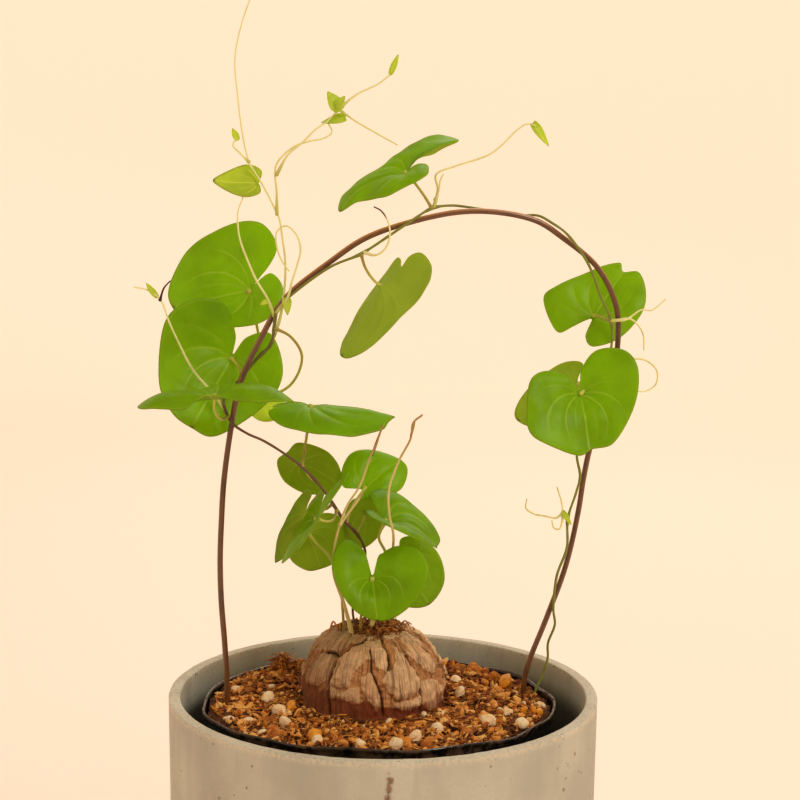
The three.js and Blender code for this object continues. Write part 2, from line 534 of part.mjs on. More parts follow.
function caudexBody(relief, grow, [sides, rowCount]) {
  const rows = Array.from({ length: rowCount + 1 }, (_, j) => {
    const rise = Math.PI * (j / rowCount - 0.5);
    return [Math.max(0, squared(Math.cos(rise))), squared(Math.sin(rise))];
  });
  rows[0][0] = 0;
  rows[rowCount][0] = 0;
  const geometry = turned(rows, sides);
  const position = geometry.attributes.position;
  for (let i = 0; i < position.count; i += 1) {
    const unit = new THREE.Vector3().fromBufferAttribute(position, i);
    const side = new THREE.Vector3(unit.x, unit.y, Math.max(unit.z, 0)).normalize();
    const shown = THREE.MathUtils.smoothstep(unit.z, PLATES_FROM, 0);
    const out = grow + (relief && side.lengthSq() > 0 ? shown * plateRelief(side) : 0);
    const tall = unit.z > 0 ? CAUDEX.rise : CAUDEX.depth;
    position.setXYZ(
      i,
      CAUDEX.x + unit.x * (CAUDEX.radius + out),
      CAUDEX.y + unit.y * (CAUDEX.radius + out),
      CAUDEX.z + unit.z * (tall + out),
    );
  }
  return toSolid(geometry);
}

// Wire and vine
const hoopCurve = curveThrough(HOOP.map(([x, z]) => new THREE.Vector3(x, hoopDepth(x), z)));
const vineCurve = curveThrough(VINE.map(([x, side, z]) => new THREE.Vector3(x, hoopDepth(x) + side, z)));

// A route with both ends, which stand in other pieces, run on by the clearance
function runOn(curve) {
  const points = curve.points.map((point) => point.clone());
  points.at(0).z -= GAP;
  points.at(-1).z -= GAP;
  return new THREE.CatmullRomCurve3(points);
}

const hoop = tube(hoopCurve, WIRE_RADIUS, WIRE_FACETS);
const caudexClearance = caudexBody(true, GAP, CAUDEX_FACETS);
const vine = tube(vineCurve, VINE_RADIUS, VINE_FACETS).subtract(caudexClearance);
const vineClearance = tube(runOn(vineCurve), VINE_RADIUS + GAP, VINE_HOLE_FACETS);

// What a shoot or a leaf grows from is cut out of it with this clearance.
const CLEARANCES = { vine: vineClearance, crown: caudexClearance };

function strand(points, radius, facets, startsOnVine) {
  const route = points.map(vector);
  if (startsOnVine) route[0] = nearestOn(vineCurve, route[0]);
  return tube(curveThrough(route), radius, facets);
}

// A closed blade: outline points around a joint, raised by height, with the same triangles on both
// faces so that they never cross
function bladeSolid(outline, rings, { joint, tip, face, height }) {
  const along = vector(tip).normalize();
  const up = vector(face).addScaledVector(along, -vector(face).dot(along)).normalize();
  const right = new THREE.Vector3().crossVectors(along, up);
  const count = outline.length;
  const place = (x, y, offset) => vector(joint)
    .addScaledVector(right, x)
    .addScaledVector(along, y)
    .addScaledVector(up, height(x, y) + offset);
  const points = [];
  for (const offset of [BLADE_THICKNESS / 2, -BLADE_THICKNESS / 2]) {
    points.push(place(0, 0, offset));
    for (let ring = 1; ring <= rings; ring += 1) {
      const share = ring / rings;
      for (const p of outline) points.push(place(p.x * share, p.y * share, offset));
    }
  }
  const layer = 1 + rings * count;
  const at = (ring, i) => 1 + (ring - 1) * count + (i % count);
  const upper = [];
  for (let i = 0; i < count; i += 1) {
    upper.push([0, at(1, i + 1), at(1, i)]);
    for (let ring = 1; ring < rings; ring += 1) {
      upper.push([at(ring, i), at(ring, i + 1), at(ring + 1, i)]);
      upper.push([at(ring, i + 1), at(ring + 1, i + 1), at(ring + 1, i)]);
    }
  }
  const lower = upper.map(([a, b, c]) => [a + layer, c + layer, b + layer]);
  const rim = [];
  for (let i = 0; i < count; i += 1) {
    const a = at(rings, i);
    const b = at(rings, i + 1);
    rim.push([a, b, b + layer], [a, b + layer, a + layer]);
  }
  return new wasm.Manifold(new wasm.Mesh({
    numProp: 3,
    vertProperties: new Float32Array(points.flatMap((p) => p.toArray())),
    triVerts: new Uint32Array([...upper, ...lower, ...rim].flat()),
  }));
}

function leafHeight({ fold, cup, droop, wave }) {
  return (x, y) => {
    const reach = Math.hypot(x, y) / BLADE_SPAN;
    const folded = fold * (Math.hypot(x, FOLD_SOFTNESS) - FOLD_SOFTNESS);
    const drooped = droop * (Math.max(0, y) / BLADE_SPAN) ** 2;
    return folded + (cup + wave * Math.sin(3 * Math.atan2(x, y) + 1)) * reach ** 2 - drooped;
  };
}

function leafSolid(leaf) {
  const flat = leaf.edge.map(([x, y]) => new THREE.Vector3(x, y, 0));
  const edge = new THREE.CatmullRomCurve3(flat, true, "catmullrom", 0.5);
  const outline = edge.getPoints(BLADE_STEPS * flat.length).slice(0, -1);
  const blade = bladeSolid(outline, BLADE_RINGS, { ...leaf, height: leafHeight(leaf) });
  const route = [...leaf.stalk, leaf.joint];
  const petiole = strand(route, PETIOLE_RADIUS, PETIOLE_FACETS, leaf.from === "vine");
  return blade.add(petiole).subtract(CLEARANCES[leaf.from]);
}

// A small leaf or a bud: a pointed oval from one point to another
function leafletSolid({ from, to, width, up }) {
  const length = vector(to).distanceTo(vector(from));
  const outline = Array.from({ length: LEAFLET_SIDES }, (_, i) => {
    const angle = (2 * Math.PI * i) / LEAFLET_SIDES;
    const narrow = 1 - LEAFLET_NARROWING * Math.cos(angle);
    return { x: 0.5 * width * narrow * Math.sin(angle), y: 0.5 * length * Math.cos(angle) };
  });
  const middle = vector(from).lerp(vector(to), 0.5);
  const tip = vector(to).sub(vector(from));
  const pose = { joint: middle.toArray(), tip: tip.toArray(), face: up, height: () => 0 };
  return bladeSolid(outline, 1, pose);
}

function shootSolid({ strands, leaves, from }) {
  const tubes = strands.map((points, i) => (
    strand(points, SHOOT_RADIUS, SHOOT_FACETS, i === 0 && from === "vine")
  ));
  return wasm.Manifold.union([...tubes, ...leaves.map(leafletSolid)]).subtract(CLEARANCES[from]);
}

// Soil: it fills the grower's pot, with grains fused into its lumpy top and plain holes for what
// stands in it
function soilSolid() {
  const wall = (z) => linerRadius(z) - LINER_WALL - SOIL_SIDE_GAP;
  const side = SOIL_SIDE_Z.map((z) => [wall(z), z]);
  const top = SOIL_RINGS.map((r) => [r, SOIL_Z]);
  const bottomZ = LINER_FOOT_Z + LINER_WALL + GAP;
  const body = turned([
    [0, bottomZ], [wall(bottomZ), bottomZ], ...side,
    [wall(SOIL_Z) - SOIL_EDGE, SOIL_Z - SOIL_EDGE], ...top, [0, SOIL_Z],
  ], ROUND_SIDES);
  const position = body.attributes.position;
  for (let i = 0; i < position.count; i += 1) {
    const x = position.getX(i);
    const y = position.getY(i);
    const lump = Math.sin(0.31 * x + 1) * Math.cos(0.27 * y) + 0.6 * Math.sin(0.7 * x - 0.5 * y);
    const isTop = position.getZ(i) > SOIL_Z - 0.1 ? 1 : 0;
    position.setZ(i, position.getZ(i) + isTop * SOIL_LUMP * lump);
  }
  const random = randomSource(5);
  const grains = [];
  const feet = FEET.map(([x, y]) => new THREE.Vector3(x, y, SOIL_Z));
  while (grains.length < SOIL_GRAINS) {
    const radius = GRAIN_REACH * Math.sqrt(random());
    const turn = 2 * Math.PI * random();
    const size = THREE.MathUtils.lerp(...GRAIN_SIZE, random() ** 2);
    const spot = new THREE.Vector3(
      LINER_X + radius * Math.cos(turn), radius * Math.sin(turn), SOIL_Z - GRAIN_SINK * size,
    );
    const fromCaudex = Math.hypot(spot.x - CAUDEX.x, spot.y - CAUDEX.y) - CAUDEX.radius;
    const fromFeet = Math.min(...feet.map((foot) => foot.distanceTo(spot)));
    if (fromCaudex < size + GRAIN_ROOM || fromFeet < FOOT_CLEARANCE) continue;
    const grain = new THREE.IcosahedronGeometry(1, 0);
    grain.scale(size, size * THREE.MathUtils.lerp(...GRAIN_FLATNESS, random()), size * GRAIN_RISE);
    grain.rotateX(Math.PI * random());
    grain.rotateZ(Math.PI * random());
    grains.push(toSolid(grain.translate(spot.x, spot.y, spot.z)));
  }
  const holes = [
    caudexBody(false, SEAT_CLEARANCE, SEAT_FACETS),
    tube(runOn(hoopCurve), WIRE_RADIUS + GAP, WIRE_HOLE_FACETS),
    vineClearance,
  ];
  const filled = wasm.Manifold.union([toSolid(bendRim(body).translate(LINER_X, 0, 0)), ...grains]);
  // The holes cut some crumbs loose, which are left out.
  const pieces = filled.subtract(wasm.Manifold.union(holes)).decompose();
  return pieces.reduce((best, piece) => (piece.volume() > best.volume() ? piece : best));
}

const plant = new THREE.Group();

function add(name, geometry, [colour, roughness], metalness = 0) {
  const material = new THREE.MeshStandardMaterial({ color: colour, roughness, metalness });
  const mesh = new THREE.Mesh(geometry, material);
  mesh.name = name;
  plant.add(mesh);
}

add("cement_pot", concretePot(), COLOURS.concrete);
add("nursery_pot", growersPot(), COLOURS.plastic);
add("soil", toGeometry(soilSolid()), COLOURS.soil);
add("caudex", toGeometry(caudexBody(true, 0, CAUDEX_FACETS)), COLOURS.cork);
add("wire_hoop", toGeometry(hoop), COLOURS.wire, 0.7);
add("main_vine", toGeometry(vine), COLOURS.stem);

const SHADED = ["leaf_cluster_olive", "leaf_cluster_left", "leaf_cluster_back", "leaf_cluster_middle"];
for (const leaf of LEAVES) {
  const tone = leaf.name === "leaf_yellow" ? COLOURS.yellowLeaf : COLOURS.leaf;
  add(leaf.name, toGeometry(leafSolid(leaf)), SHADED.includes(leaf.name) ? COLOURS.shadedLeaf : tone);
}
for (const shoot of SHOOTS) {
  const tone = shoot.name.startsWith("dry") ? COLOURS.dry : COLOURS.shoot;
  add(shoot.name, toGeometry(shootSolid(shoot)), tone);
}

export default plant;
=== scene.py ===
import bpy
import numpy as np
from bpy.props import FloatProperty, FloatVectorProperty, IntProperty, PointerProperty
from bpy.types import Operator, Panel, PropertyGroup
from mathutils import Matrix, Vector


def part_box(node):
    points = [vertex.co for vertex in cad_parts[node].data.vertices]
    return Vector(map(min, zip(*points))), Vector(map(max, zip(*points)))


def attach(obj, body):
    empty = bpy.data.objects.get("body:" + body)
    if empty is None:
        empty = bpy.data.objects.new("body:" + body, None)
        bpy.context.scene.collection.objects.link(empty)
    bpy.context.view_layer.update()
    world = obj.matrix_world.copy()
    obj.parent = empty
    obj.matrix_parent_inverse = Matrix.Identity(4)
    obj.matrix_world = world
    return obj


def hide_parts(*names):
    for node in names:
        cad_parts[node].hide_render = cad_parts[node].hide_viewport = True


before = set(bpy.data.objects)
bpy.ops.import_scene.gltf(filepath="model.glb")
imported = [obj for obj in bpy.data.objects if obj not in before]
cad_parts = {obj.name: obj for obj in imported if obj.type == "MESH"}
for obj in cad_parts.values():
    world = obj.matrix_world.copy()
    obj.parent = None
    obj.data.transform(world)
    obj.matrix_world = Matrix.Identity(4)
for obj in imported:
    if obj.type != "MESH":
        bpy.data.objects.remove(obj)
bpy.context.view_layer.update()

bl_info = {
    "name": "Potted Tortoise Plant",
    "version": (1, 0, 0),
    "blender": (4, 5, 0),
    "location": "3D View > Sidebar > Plant",
    "description": "A vine on a wire hoop, growing from a corky base in a pot inside a pot",
    "category": "Add Mesh",
}

MM = 0.001
SEED = 7

# The caudex's middle, at the height of the soil, and its shape, in millimetres
CAUDEX = np.array([-3.7, 7.0, 126.0])
CAUDEX_RADIUS, CAUDEX_RISE, CAUDEX_DEPTH = 25.6, 26.3, 14.0
CAUDEX_SQUARENESS = 2.5

# The hoop stands in an upright plane: y = HOOP_Y + HOOP_TURN * x
HOOP_Y, HOOP_TURN = 5.0, 0.147

# The wire's route in that plane: across, up
HOOP = [
    (-54.5, 95), (-54.4, 124.5), (-55.3, 146), (-56.5, 163), (-56.8, 177), (-56.3, 191), (-55.4, 205),
    (-52.8, 224), (-49.8, 238.5), (-42.8, 254), (-34.7, 267.5), (-19.5, 280), (-7.7, 288), (7.5, 293.5),
    (24, 297), (38, 297), (51.5, 294), (60.3, 288.5), (73, 278), (80, 264.5), (81, 252.5), (78.6, 235),
    (72.3, 215.5), (70, 203.5), (68.4, 191.5), (64.4, 172), (57.7, 152.5), (51.3, 135), (49.8, 124.5),
    (48.5, 95),
]

# The vine's route: across, in front of the hoop's plane (minus) or behind it, up
VINE = [
    (-9, 1, 148), (-11, 0, 157), (-10, -1, 165), (-7.4, -3, 174.5), (-6.8, -4, 180), (-9, -4, 185),
    (-14.5, -4, 191.5), (-21.7, -3, 202), (-28, -2.5, 209), (-35, -2.2, 214.5), (-42, -2.2, 219),
    (-47.5, -2.2, 221.6), (-52.5, -2.4, 225.5), (-55.4, 0, 232.8), (-50.1, 2.3, 239.4),
    (-44.5, 1.8, 246.5), (-39.4, 0, 252), (-38.2, -1.6, 258.3), (-37.3, -2.2, 263.4),
    (-34.3, -2.2, 267.2), (-19.5, -1.9, 278.3), (-9, -1.4, 282.8), (0.5, -2, 289), (6.4, -2.2, 293),
    (15, -0.8, 298.3), (21.6, 1.2, 299.2), (27.1, 2.3, 298.7), (35, 2.3, 297.5), (46, 2.3, 296),
    (52, 1.2, 295.8), (56.5, -1, 293.5), (61.5, -2, 290), (68.3, -2.3, 281.4), (71, -2.2, 276.3),
    (74.2, -2.2, 268), (77.8, -2.2, 260.5), (78.6, -2.2, 252.8), (77, -2.2, 243), (73.2, -2.2, 230),
    (67.2, -2.2, 213.3), (68.5, -2.2, 204.6), (67.3, -2.3, 199), (64.5, -2.2, 189.4),
    (64.4, -2.2, 179), (61, -2.2, 168.6), (60.1, -2.3, 156.4), (60.8, -1.6, 151), (58.6, 0, 143.5),
    (58.6, 0, 138), (56.5, 0, 131), (54, 0, 124.5), (53.5, 0, 112),
]

# Side shoots: strands are routes, of which some are dark, and leaves run from one point to another.
# The first strand starts on the vine, unless the shoot is dry and starts in the crown.
SHOOTS = {
    "long_shoot": {
        "strands": [
            [(-39.5, 0, 252), (-36.8, 6, 260), (-35.4, 8, 270), (-35.2, 9, 279.5), (-36.1, 9, 286.7),
             (-37.2, 8, 294.2), (-38.6, 8, 297.2), (-41.7, 8, 303.5), (-44.5, 8, 308.3),
             (-47.5, 8, 313.3), (-50, 9, 323.8), (-51.5, 10, 335.5), (-52.6, 12, 347.6),
             (-51, 14, 357.8), (-47.8, 16, 368), (-45.2, 18, 374)],
            [(-47.5, 8, 313.3), (-50.6, 8, 316.3), (-53, 8, 319), (-51.6, 8, 321.2)],
            [(-38, 8, 295.5), (-38, 7, 303), (-38.1, 6, 312.4), (-32.2, 6, 318.6), (-26.7, 7, 320.6),
             (-21.8, 8, 321.7), (-19.3, 8, 323.7), (-21, 8, 327.2)],
            [(-38, 6, 309), (-34.1, 4.8, 315.9), (-29.3, 5, 320), (-24.6, 6, 324.7), (-21, 8, 327.2),
             (-17, 8, 331.5)],
            [(-17, 8, 331.5), (-11.9, 9, 327.9), (-3.7, 12, 323.2), (3, 13, 319.6)],
            [(-17, 8, 331.5), (-11.2, 9, 336.3), (-6.5, 10, 338.7), (-3.8, 10, 340), (0.2, 10, 343.1)],
        ],
        "leaves": [
            ((-44.5, 8, 306.5), (-60, 8.5, 307), 12, (-0.2, -0.9, 0.4)),
            ((-15, 8, 328.5), (-23, 8, 327.5), 5.5, (0, -0.6, 0.8)),
            ((-17, 8, 331.5), (-20.5, 8, 337.5), 6, (0.5, -0.8, 0.2)),
            ((-18.5, 7, 331), (-15.2, 6.6, 336), 4.5, (-0.4, -0.8, 0.3)),
            ((-51.2, 8, 320.5), (-53.2, 8, 324.6), 2.4, (0, -1, 0)),
            ((0.2, 10, 343), (3, 10, 350), 2.2, (0, -1, 0)),
        ],
    },
    "loop_shoot": {
        "strands": [
            [(-37, -1, 263), (-33.5, -3.5, 268.5), (-32.4, -1, 273), (-30.8, 2, 278.5), (-29.6, 3, 284),
             (-31, 3, 289), (-34.6, 3.5, 292), (-37.8, 3.8, 289.8), (-37.6, 4, 284.3),
             (-35.8, 4.5, 279.5), (-33.6, 4.5, 276.5)],
        ],
        "leaves": [((-34, -3.5, 268), (-33.4, -5, 262.5), 3.4, (0.3, -0.9, 0))],
    },
    "pale_shoot": {
        "strands": [
            [(-37.5, -2, 261), (-40.7, -1, 267.7), (-44.5, 1, 273.5), (-47.2, 2, 279.3),
             (-50.2, 3, 287.1), (-51, 4, 291.7), (-51.1, 5, 296.4), (-49.4, 6, 301.5)],
        ],
        "leaves": [((-40.2, -1.5, 267), (-43, -2.5, 265.5), 1.8, (0, -1, 0))],
    },
    "left_shoot": {
        "strands": [
            [(-54, -3, 229.5), (-59.7, 0, 235.1), (-64.5, -2, 241), (-67.2, -4, 245.7),
             (-70, -5, 251.8), (-73.3, -6, 259.4), (-76.5, -6, 267.5), (-80.8, -6, 270.5),
             (-85.2, -6, 271.4)],
            [(-76.5, -6, 267), (-75.1, -6, 271.2), (-73, -5.5, 273.6)],
        ],
        "dark": [1],
        "leaves": [((-77.2, -6, 267.8), (-81, -6.5, 272.8), 2.2, (0, -1, 0))],
    },
    "top_right_shoot": {
        "strands": [
            [(15.4, 7, 299), (17, 8, 304.5), (16.3, 8, 309.6), (23.1, 9, 312.7), (30.6, 10, 315.1),
             (34.7, 10, 316.8), (38.7, 10, 319.9), (43.4, 10, 324.7), (47.1, 10, 327.1),
             (50, 10, 326.6)],
            [(16, 7.5, 301), (17.3, 5.5, 304.6), (17.8, 5, 308), (18.8, 5, 310)],
        ],
        "leaves": [((49.4, 10, 327.2), (54.8, 10, 319.8), 3.6, (0.3, -0.9, 0.3))],
    },
    "arch_tendril": {
        "strands": [
            [(-8.3, 2, 282.9), (-4.2, 0, 282.6), (-1.1, 0, 284.4), (0.8, 0, 289.2), (0.1, 1, 293.9),
             (-2.3, 2, 297.5), (-4.7, 2, 298.8)],
        ],
        "leaves": [],
    },
    "right_upper_shoot": {
        "strands": [
            [(77, 14, 259.5), (80.2, 14.2, 259.6), (83.2, 14.5, 260), (85.6, 16, 261.2),
             (88.6, 16, 263.3), (92.5, 16, 263.3), (97.2, 16, 267.2)],
            [(77.9, 14.2, 259.5), (81, 14.4, 260), (84.5, 15.4, 260.3), (87.2, 16.5, 258.6),
             (89.7, 17, 254.8), (90.2, 17, 249.1)],
        ],
        "leaves": [],
    },
    "right_lower_shoot": {
        "strands": [
            [(77, 14, 243), (82, 12.5, 245.5), (87.2, 14, 246.4), (91.6, 16, 245.2), (95, 17, 241.7),
             (94.8, 17, 237.1), (91.2, 16, 234.7), (86, 12, 235.4)],
        ],
        "leaves": [((84.5, 13, 245.6), (87.5, 12, 240.5), 2.4, (0, -1, 0))],
    },
    "low_right_shoot": {
        "strands": [
            [(64.7, 11, 188.9), (62.7, 10, 192.2), (61.8, 9.5, 196.4), (60.2, 9.5, 201.2)],
            [(62.7, 10, 192.2), (60.1, 9, 190.4), (56.2, 9, 191), (52.3, 9, 191.7), (49.4, 9, 193.8),
             (49.7, 9, 197)],
            [(62.7, 10, 192.2), (61.4, 9, 186.5), (59.4, 9, 186.8), (58.6, 9, 189.4)],
        ],
        "leaves": [((62.2, 9.6, 193), (65.4, 8.4, 188), 2, (0, -1, 0))],
    },
    "dry_stem_left": {
        "strands": [
            [(-11, -1, 150), (-14, -3, 162), (-17.4, -6, 172.8), (-17.2, -9, 182.7),
             (-15.2, -9.5, 191.7), (-12.6, -9, 198.2), (-8.7, -9, 204.4), (-5.4, -10, 213.9),
             (-2.6, -11, 221), (-0.9, -12, 226.2)],
            [(-15.4, -9.5, 191), (-12, -7.5, 195.5), (-9.5, -6, 198.6), (-7.6, -4, 201)],
        ],
        "leaves": [((-4.6, -10, 215), (-1.2, -11.8, 225.5), 1.0, (0, -1, 0))],
    },
    "dry_stem_right": {
        "strands": [
            [(-5, 1, 150), (-2.1, -1, 162.9), (1.3, -3.5, 172.8), (2.8, -6.5, 181.8),
             (2.9, -15.4, 190.3), (1.8, -17, 195.3), (1.2, -17, 202.2), (1.7, -14, 206.1),
             (4.7, -12, 214.1), (8.6, -12, 221.9), (9.3, -12, 227), (12.4, -12, 229.8)],
        ],
        "leaves": [((8.4, -12, 222), (10.2, -12, 228.6), 0.9, (0, -1, 0))],
    },
}

# Leaves: where the petiole meets the blade, the way of the tip, the way the upper side faces, the
# outline right and tipward of the joint, (fold, cup, droop, wave), the petiole's route, and how olive
# the blade is
LEAVES = {
    "leaf_upper_left": (
        (-48.6, 20, 268.4), (-0.97, 0.07, -0.24), (-0.15, -0.9, 0.35),
        [(0, 28), (9, 27.5), (20, 17), (24.5, 2), (22, -9), (13, -13), (6, -8), (1.5, -2.1), (4, -9),
         (-3, -12), (-12, -6), (-13, 5), (-8, 20)],
        (0.12, 1, 1.5, 0.6),
        [(-43, 0.5, 248.5), (-43.5, 9, 247.5), (-45, 19, 252), (-47.5, 23, 262)], 0.0),
    "leaf_left": (
        (-53.8, 9.5, 245.7), (-0.48, -0.2, -0.85), (0.1, -0.97, 0.15),
        [(0, 28), (9, 26.5), (18, 19), (26, 1), (22, -10), (12, -15), (3, -8), (0.3, -1.5), (-1, -9),
         (-8, -14), (-18, -4), (-18, 9), (-9, 26)],
        (0.1, 1.5, -1.5, 0.8), [(-50, 0, 239.5), (-50.5, 5, 242.5)], 0.1),
    "leaf_left_front": (
        (-56, -27, 238), (0.1, 1, 0), (-0.1, 0.03, 1),
        [(0, 20), (9, 17), (19, 13), (25, 5), (25.5, -5), (18, -10), (9, -9), (3, -7), (0, -1.5),
         (-4, -7), (-13, -10), (-21, -10), (-25.5, -3), (-25, 6), (-19, 13), (-9, 17)],
        (0.05, -1, 1, 0.8), [(-53.5, -5, 227.5), (-55, -15, 228), (-56.5, -24, 233)], 0.2),
    "leaf_inner_left": (
        (-26, 6, 230), (1, -0.05, -0.07), (0.06, -0.03, 1),
        [(0, 29.5), (4, 27.5), (9, 25), (14, 15), (15, 3), (12, -9), (5, -14), (1.5, -8), (0, -1.5),
         (-2, -8), (-6, -14), (-13, -9), (-16, 3), (-14, 15), (-9, 25), (-3, 27)],
        (-0.5, 0, 1, 0.3), [(-29, -1, 209.5), (-28, 3, 215)], 0.0),
    "leaf_arch_top": (
        (5.7, 10, 310.4), (-0.91, 0.05, -0.41), (-0.4, -0.35, 0.85),
        [(0, 26), (6, 25), (11, 18), (14, 8), (17, 0), (18, -12), (8, -21), (6, -12), (0.5, -2),
         (-3, -8), (-12, -7), (-15, 0), (-13, 9), (-5, 17)],
        (0.12, 0, 2, 0.4), [(14.5, 6.8, 298.5), (12, 6, 303), (8.5, 7, 307.5)], 0.0),
    "leaf_arch_hanging": (
        (-1.3, 5, 271.2), (-0.57, 0, -0.82), (0.75, 0.41, -0.52),
        [(0, 28), (8, 24), (13, 13), (15.5, 1), (17, -8), (13, -15.5), (6, -17.5), (1.6, -14),
         (-0.4, -9.5), (-3, -11), (-8, -10.5), (-13, -5), (-14, 8), (-8, 24)],
        (0.33, 0.7, 0, 0.3), [(-9, 2, 282.6), (-7.5, 3.5, 278), (-4.5, 4.5, 273.6)], 0.1),
    "leaf_right_back": (
        (73.3, 26, 260), (0.55, 0.29, 0.79), (-0.1, -0.9, 0.4),
        [(0, 19.5), (5, 22), (11, 17), (14, 9), (12, -3), (6, -10), (1.5, -8), (0, -1.5), (-4, -7),
         (-8, -12), (-18, -5), (-17, 2), (-9, 15), (-3, 21.5)],
        (0.08, 1, 0.5, 0.5), [(77.5, 14, 259), (76, 18, 260), (74.5, 22.5, 260.5)], 0.1),
    "leaf_right_front": (
        (66.9, 2, 235.5), (0.12, -0.35, -0.93), (0.1, -0.9, 0.35),
        [(-1, 20), (4.5, 22), (15.5, 17.5), (20.5, 13), (20.5, 5), (18, -5), (12, -8.5), (5, -7),
         (0.3, -1.2), (-1, -8), (-7, -14.5), (-15.5, -13.5), (-19.5, -7), (-18.5, 3), (-14.5, 11.5),
         (-8, 19)],
        (0.26, 1.5, -0.5, 0.6), [(76, 13.5, 240), (74, 9, 239.5), (70, 4.5, 238)], 0.0),
    "leaf_right_hidden": (
        (67.2, 27, 235.2), (-0.78, 0.27, -0.56), (0.1, 0.9, 0.3),
        [(0, 25.5), (7, 21), (12, 12), (11, 0), (5, -7), (0, -1.5), (-5, -7), (-9, -1), (-9, 11),
         (-5, 22)],
        (0.1, 1, 1, 0.3), [(76.5, 13.5, 241.5), (76, 20, 240), (71, 25.5, 237)], 0.4),
    "leaf_cluster_olive": (
        (-30.2, 11, 209.3), (0.76, 0.39, -0.52), (-0.2, 0.85, 0.35),
        [(0, 19), (6, 13), (8, 4), (5.5, -4.5), (0.5, -5.5), (-5, -6), (-10, 1), (-10, 10), (-6, 17.5)],
        (0.15, 1, 1, 0.2), [(-24.5, 0, 205), (-26, 5, 204.5), (-28.5, 9.5, 207.3)], 0.9),
    "leaf_cluster_green": (
        (-7.1, 12.5, 199.8), (0.72, 0.47, 0.51), (0.1, -0.8, 0.6),
        [(0, 17.5), (5, 16), (8.5, 9), (6, 0), (2, -5), (0, -1.5), (-5, -6), (-11, -1), (-13, 6),
         (-8, 13.5)],
        (0.1, 1, 1, 0.4), [(-13, -1.5, 190), (-12, 3, 194), (-9, 10, 197.5)], 0.0),
    "leaf_cluster_left": (
        (-28, 1, 192.4), (-0.47, 0, -0.88), (-0.82, 0.35, 0.45),
        [(0, 20), (6, 17), (12, 9), (13, 0), (8, -9), (3, -8), (0, -1.5), (-3, -8), (-9, -9),
         (-13, 1), (-11, 10), (-5, 17)],
        (0.1, 1, 1, 0.3), [(-18, -1, 196.5), (-20.5, 0.5, 194.5), (-24.5, 1, 193.7)], 0.7),
    "leaf_cluster_front": (
        (-23.2, -17, 194.9), (-0.57, -0.1, -0.82), (-0.8, -0.1, 0.56),
        [(0, 19), (5, 16), (9.5, 8), (10, -2), (6, -8), (2.5, -7), (0, -1.5), (-3, -14), (-7, -19),
         (-11, -3), (-10, 8), (-5, 16)],
        (0.12, 1, 0.5, 0.2), [(-16.5, -1.5, 194), (-17.5, -7, 192.5), (-20, -13, 193)], 0.3),
    "leaf_cluster_back": (
        (-27.7, 16, 183.1), (0.28, 0.33, -0.9), (-0.1, 0.9, 0.3),
        [(0, 17), (6, 16), (13, 9), (14, 1), (9, -4), (3, -4), (0, -1.5), (-4, -3), (-9, 4), (-9, 11),
         (-5, 16)],
        (0.1, 1, 1, 0.3),
        [(-14, 4, 148), (-14.5, 2, 158), (-15.5, 1, 168), (-19, 5, 176), (-24.5, 12, 180)], 0.7),
    "leaf_cluster_middle": (
        (-6.8, 12, 190.9), (-0.04, 0.32, -0.95), (0.2, 0.9, 0.3),
        [(0, 14.5), (5, 9), (7, 2), (5, -4.5), (0, -5.5), (-5, -4), (-8, 3), (-8, 10), (-5, 14)],
        (0.12, 1, 1, 0.2), [(-10, -0.5, 186.5), (-9.5, 4, 186.5), (-8, 9.5, 188.5)], 0.8),
    "leaf_cluster_right": (
        (0.4, -4, 191.7), (0.9, 0, -0.43), (0.41, -0.2, 0.89),
        [(0, 20), (5, 19.5), (10, 12), (11.5, 2), (10, -6), (5, -8), (1, -5), (0, -1.5), (-4, -6),
         (-10, -8.5), (-14, -5), (-15, 3), (-12, 13), (-6, 20)],
        (0.35, 0.5, 1, 0.3),
        [(-3, 3, 148), (-3.5, 3, 158), (0, 1, 168), (0.5, -1, 179), (-2, -3, 185.5)], 0.1),
    "leaf_front_heart": (
        (-3.9, -15, 173.9), (0.12, -0.5, -0.86), (0, -0.85, 0.5),
        [(0, 15), (7, 11.5), (12, 3), (13, -7), (8, -14), (2, -10), (0, -1.2), (-3, -7), (-9, -9.5),
         (-16, -7), (-19, 1), (-15, 9), (-7, 14.5)],
        (0.42, 0, -0.5, 0.2), [(-8, 1, 149), (-8, -4, 157), (-6, -11, 166)], 0.0),
    "leaf_heart_shadow": (
        (5.5, 9, 173.5), (0.57, -0.02, -0.82), (0.25, -0.9, 0.2),
        [(0, 18), (7, 14), (11, 6), (9, -3), (4, -7), (0, -1.5), (-5, -7), (-11, -3), (-13, 6),
         (-9, 15)],
        (0.1, 1, 0.5, 0.3), [(-1, 6, 149), (1, 11, 158), (4, 12, 167)], 0.5),
    "leaf_yellow": (
        (-44.2, 22, 229), (0.9, -0.22, -0.37), (-0.1, -0.9, 0.3),
        [(0, 9), (5, 7), (7, 2), (5, -3), (0, -2), (-4, -4), (-6, 2), (-4, 6)],
        (0.1, 0.5, 0.5, 0.1), [(-38.3, -2, 257.5), (-33, 4, 254), (-29.5, 12, 246), (-34, 20, 235)],
        0.0),
}

# How far some blades rise around the joint and how far their margin turns down, in millimetres
SWELLS = {
    "leaf_inner_left": (1, 1.6), "leaf_left_front": (2.6, 5), "leaf_arch_top": (2.6, 3.2),
    "leaf_cluster_right": (2.4, 2.6), "leaf_front_heart": (2.2, 2.4), "leaf_right_front": (1.6, 2.2),
    "leaf_cluster_front": (1.6, 1.8), "leaf_cluster_green": (1.6, 2.6), "leaf_yellow": (0.3, 0.3),
}
COMMON_SWELL = (1.1, 1.3)

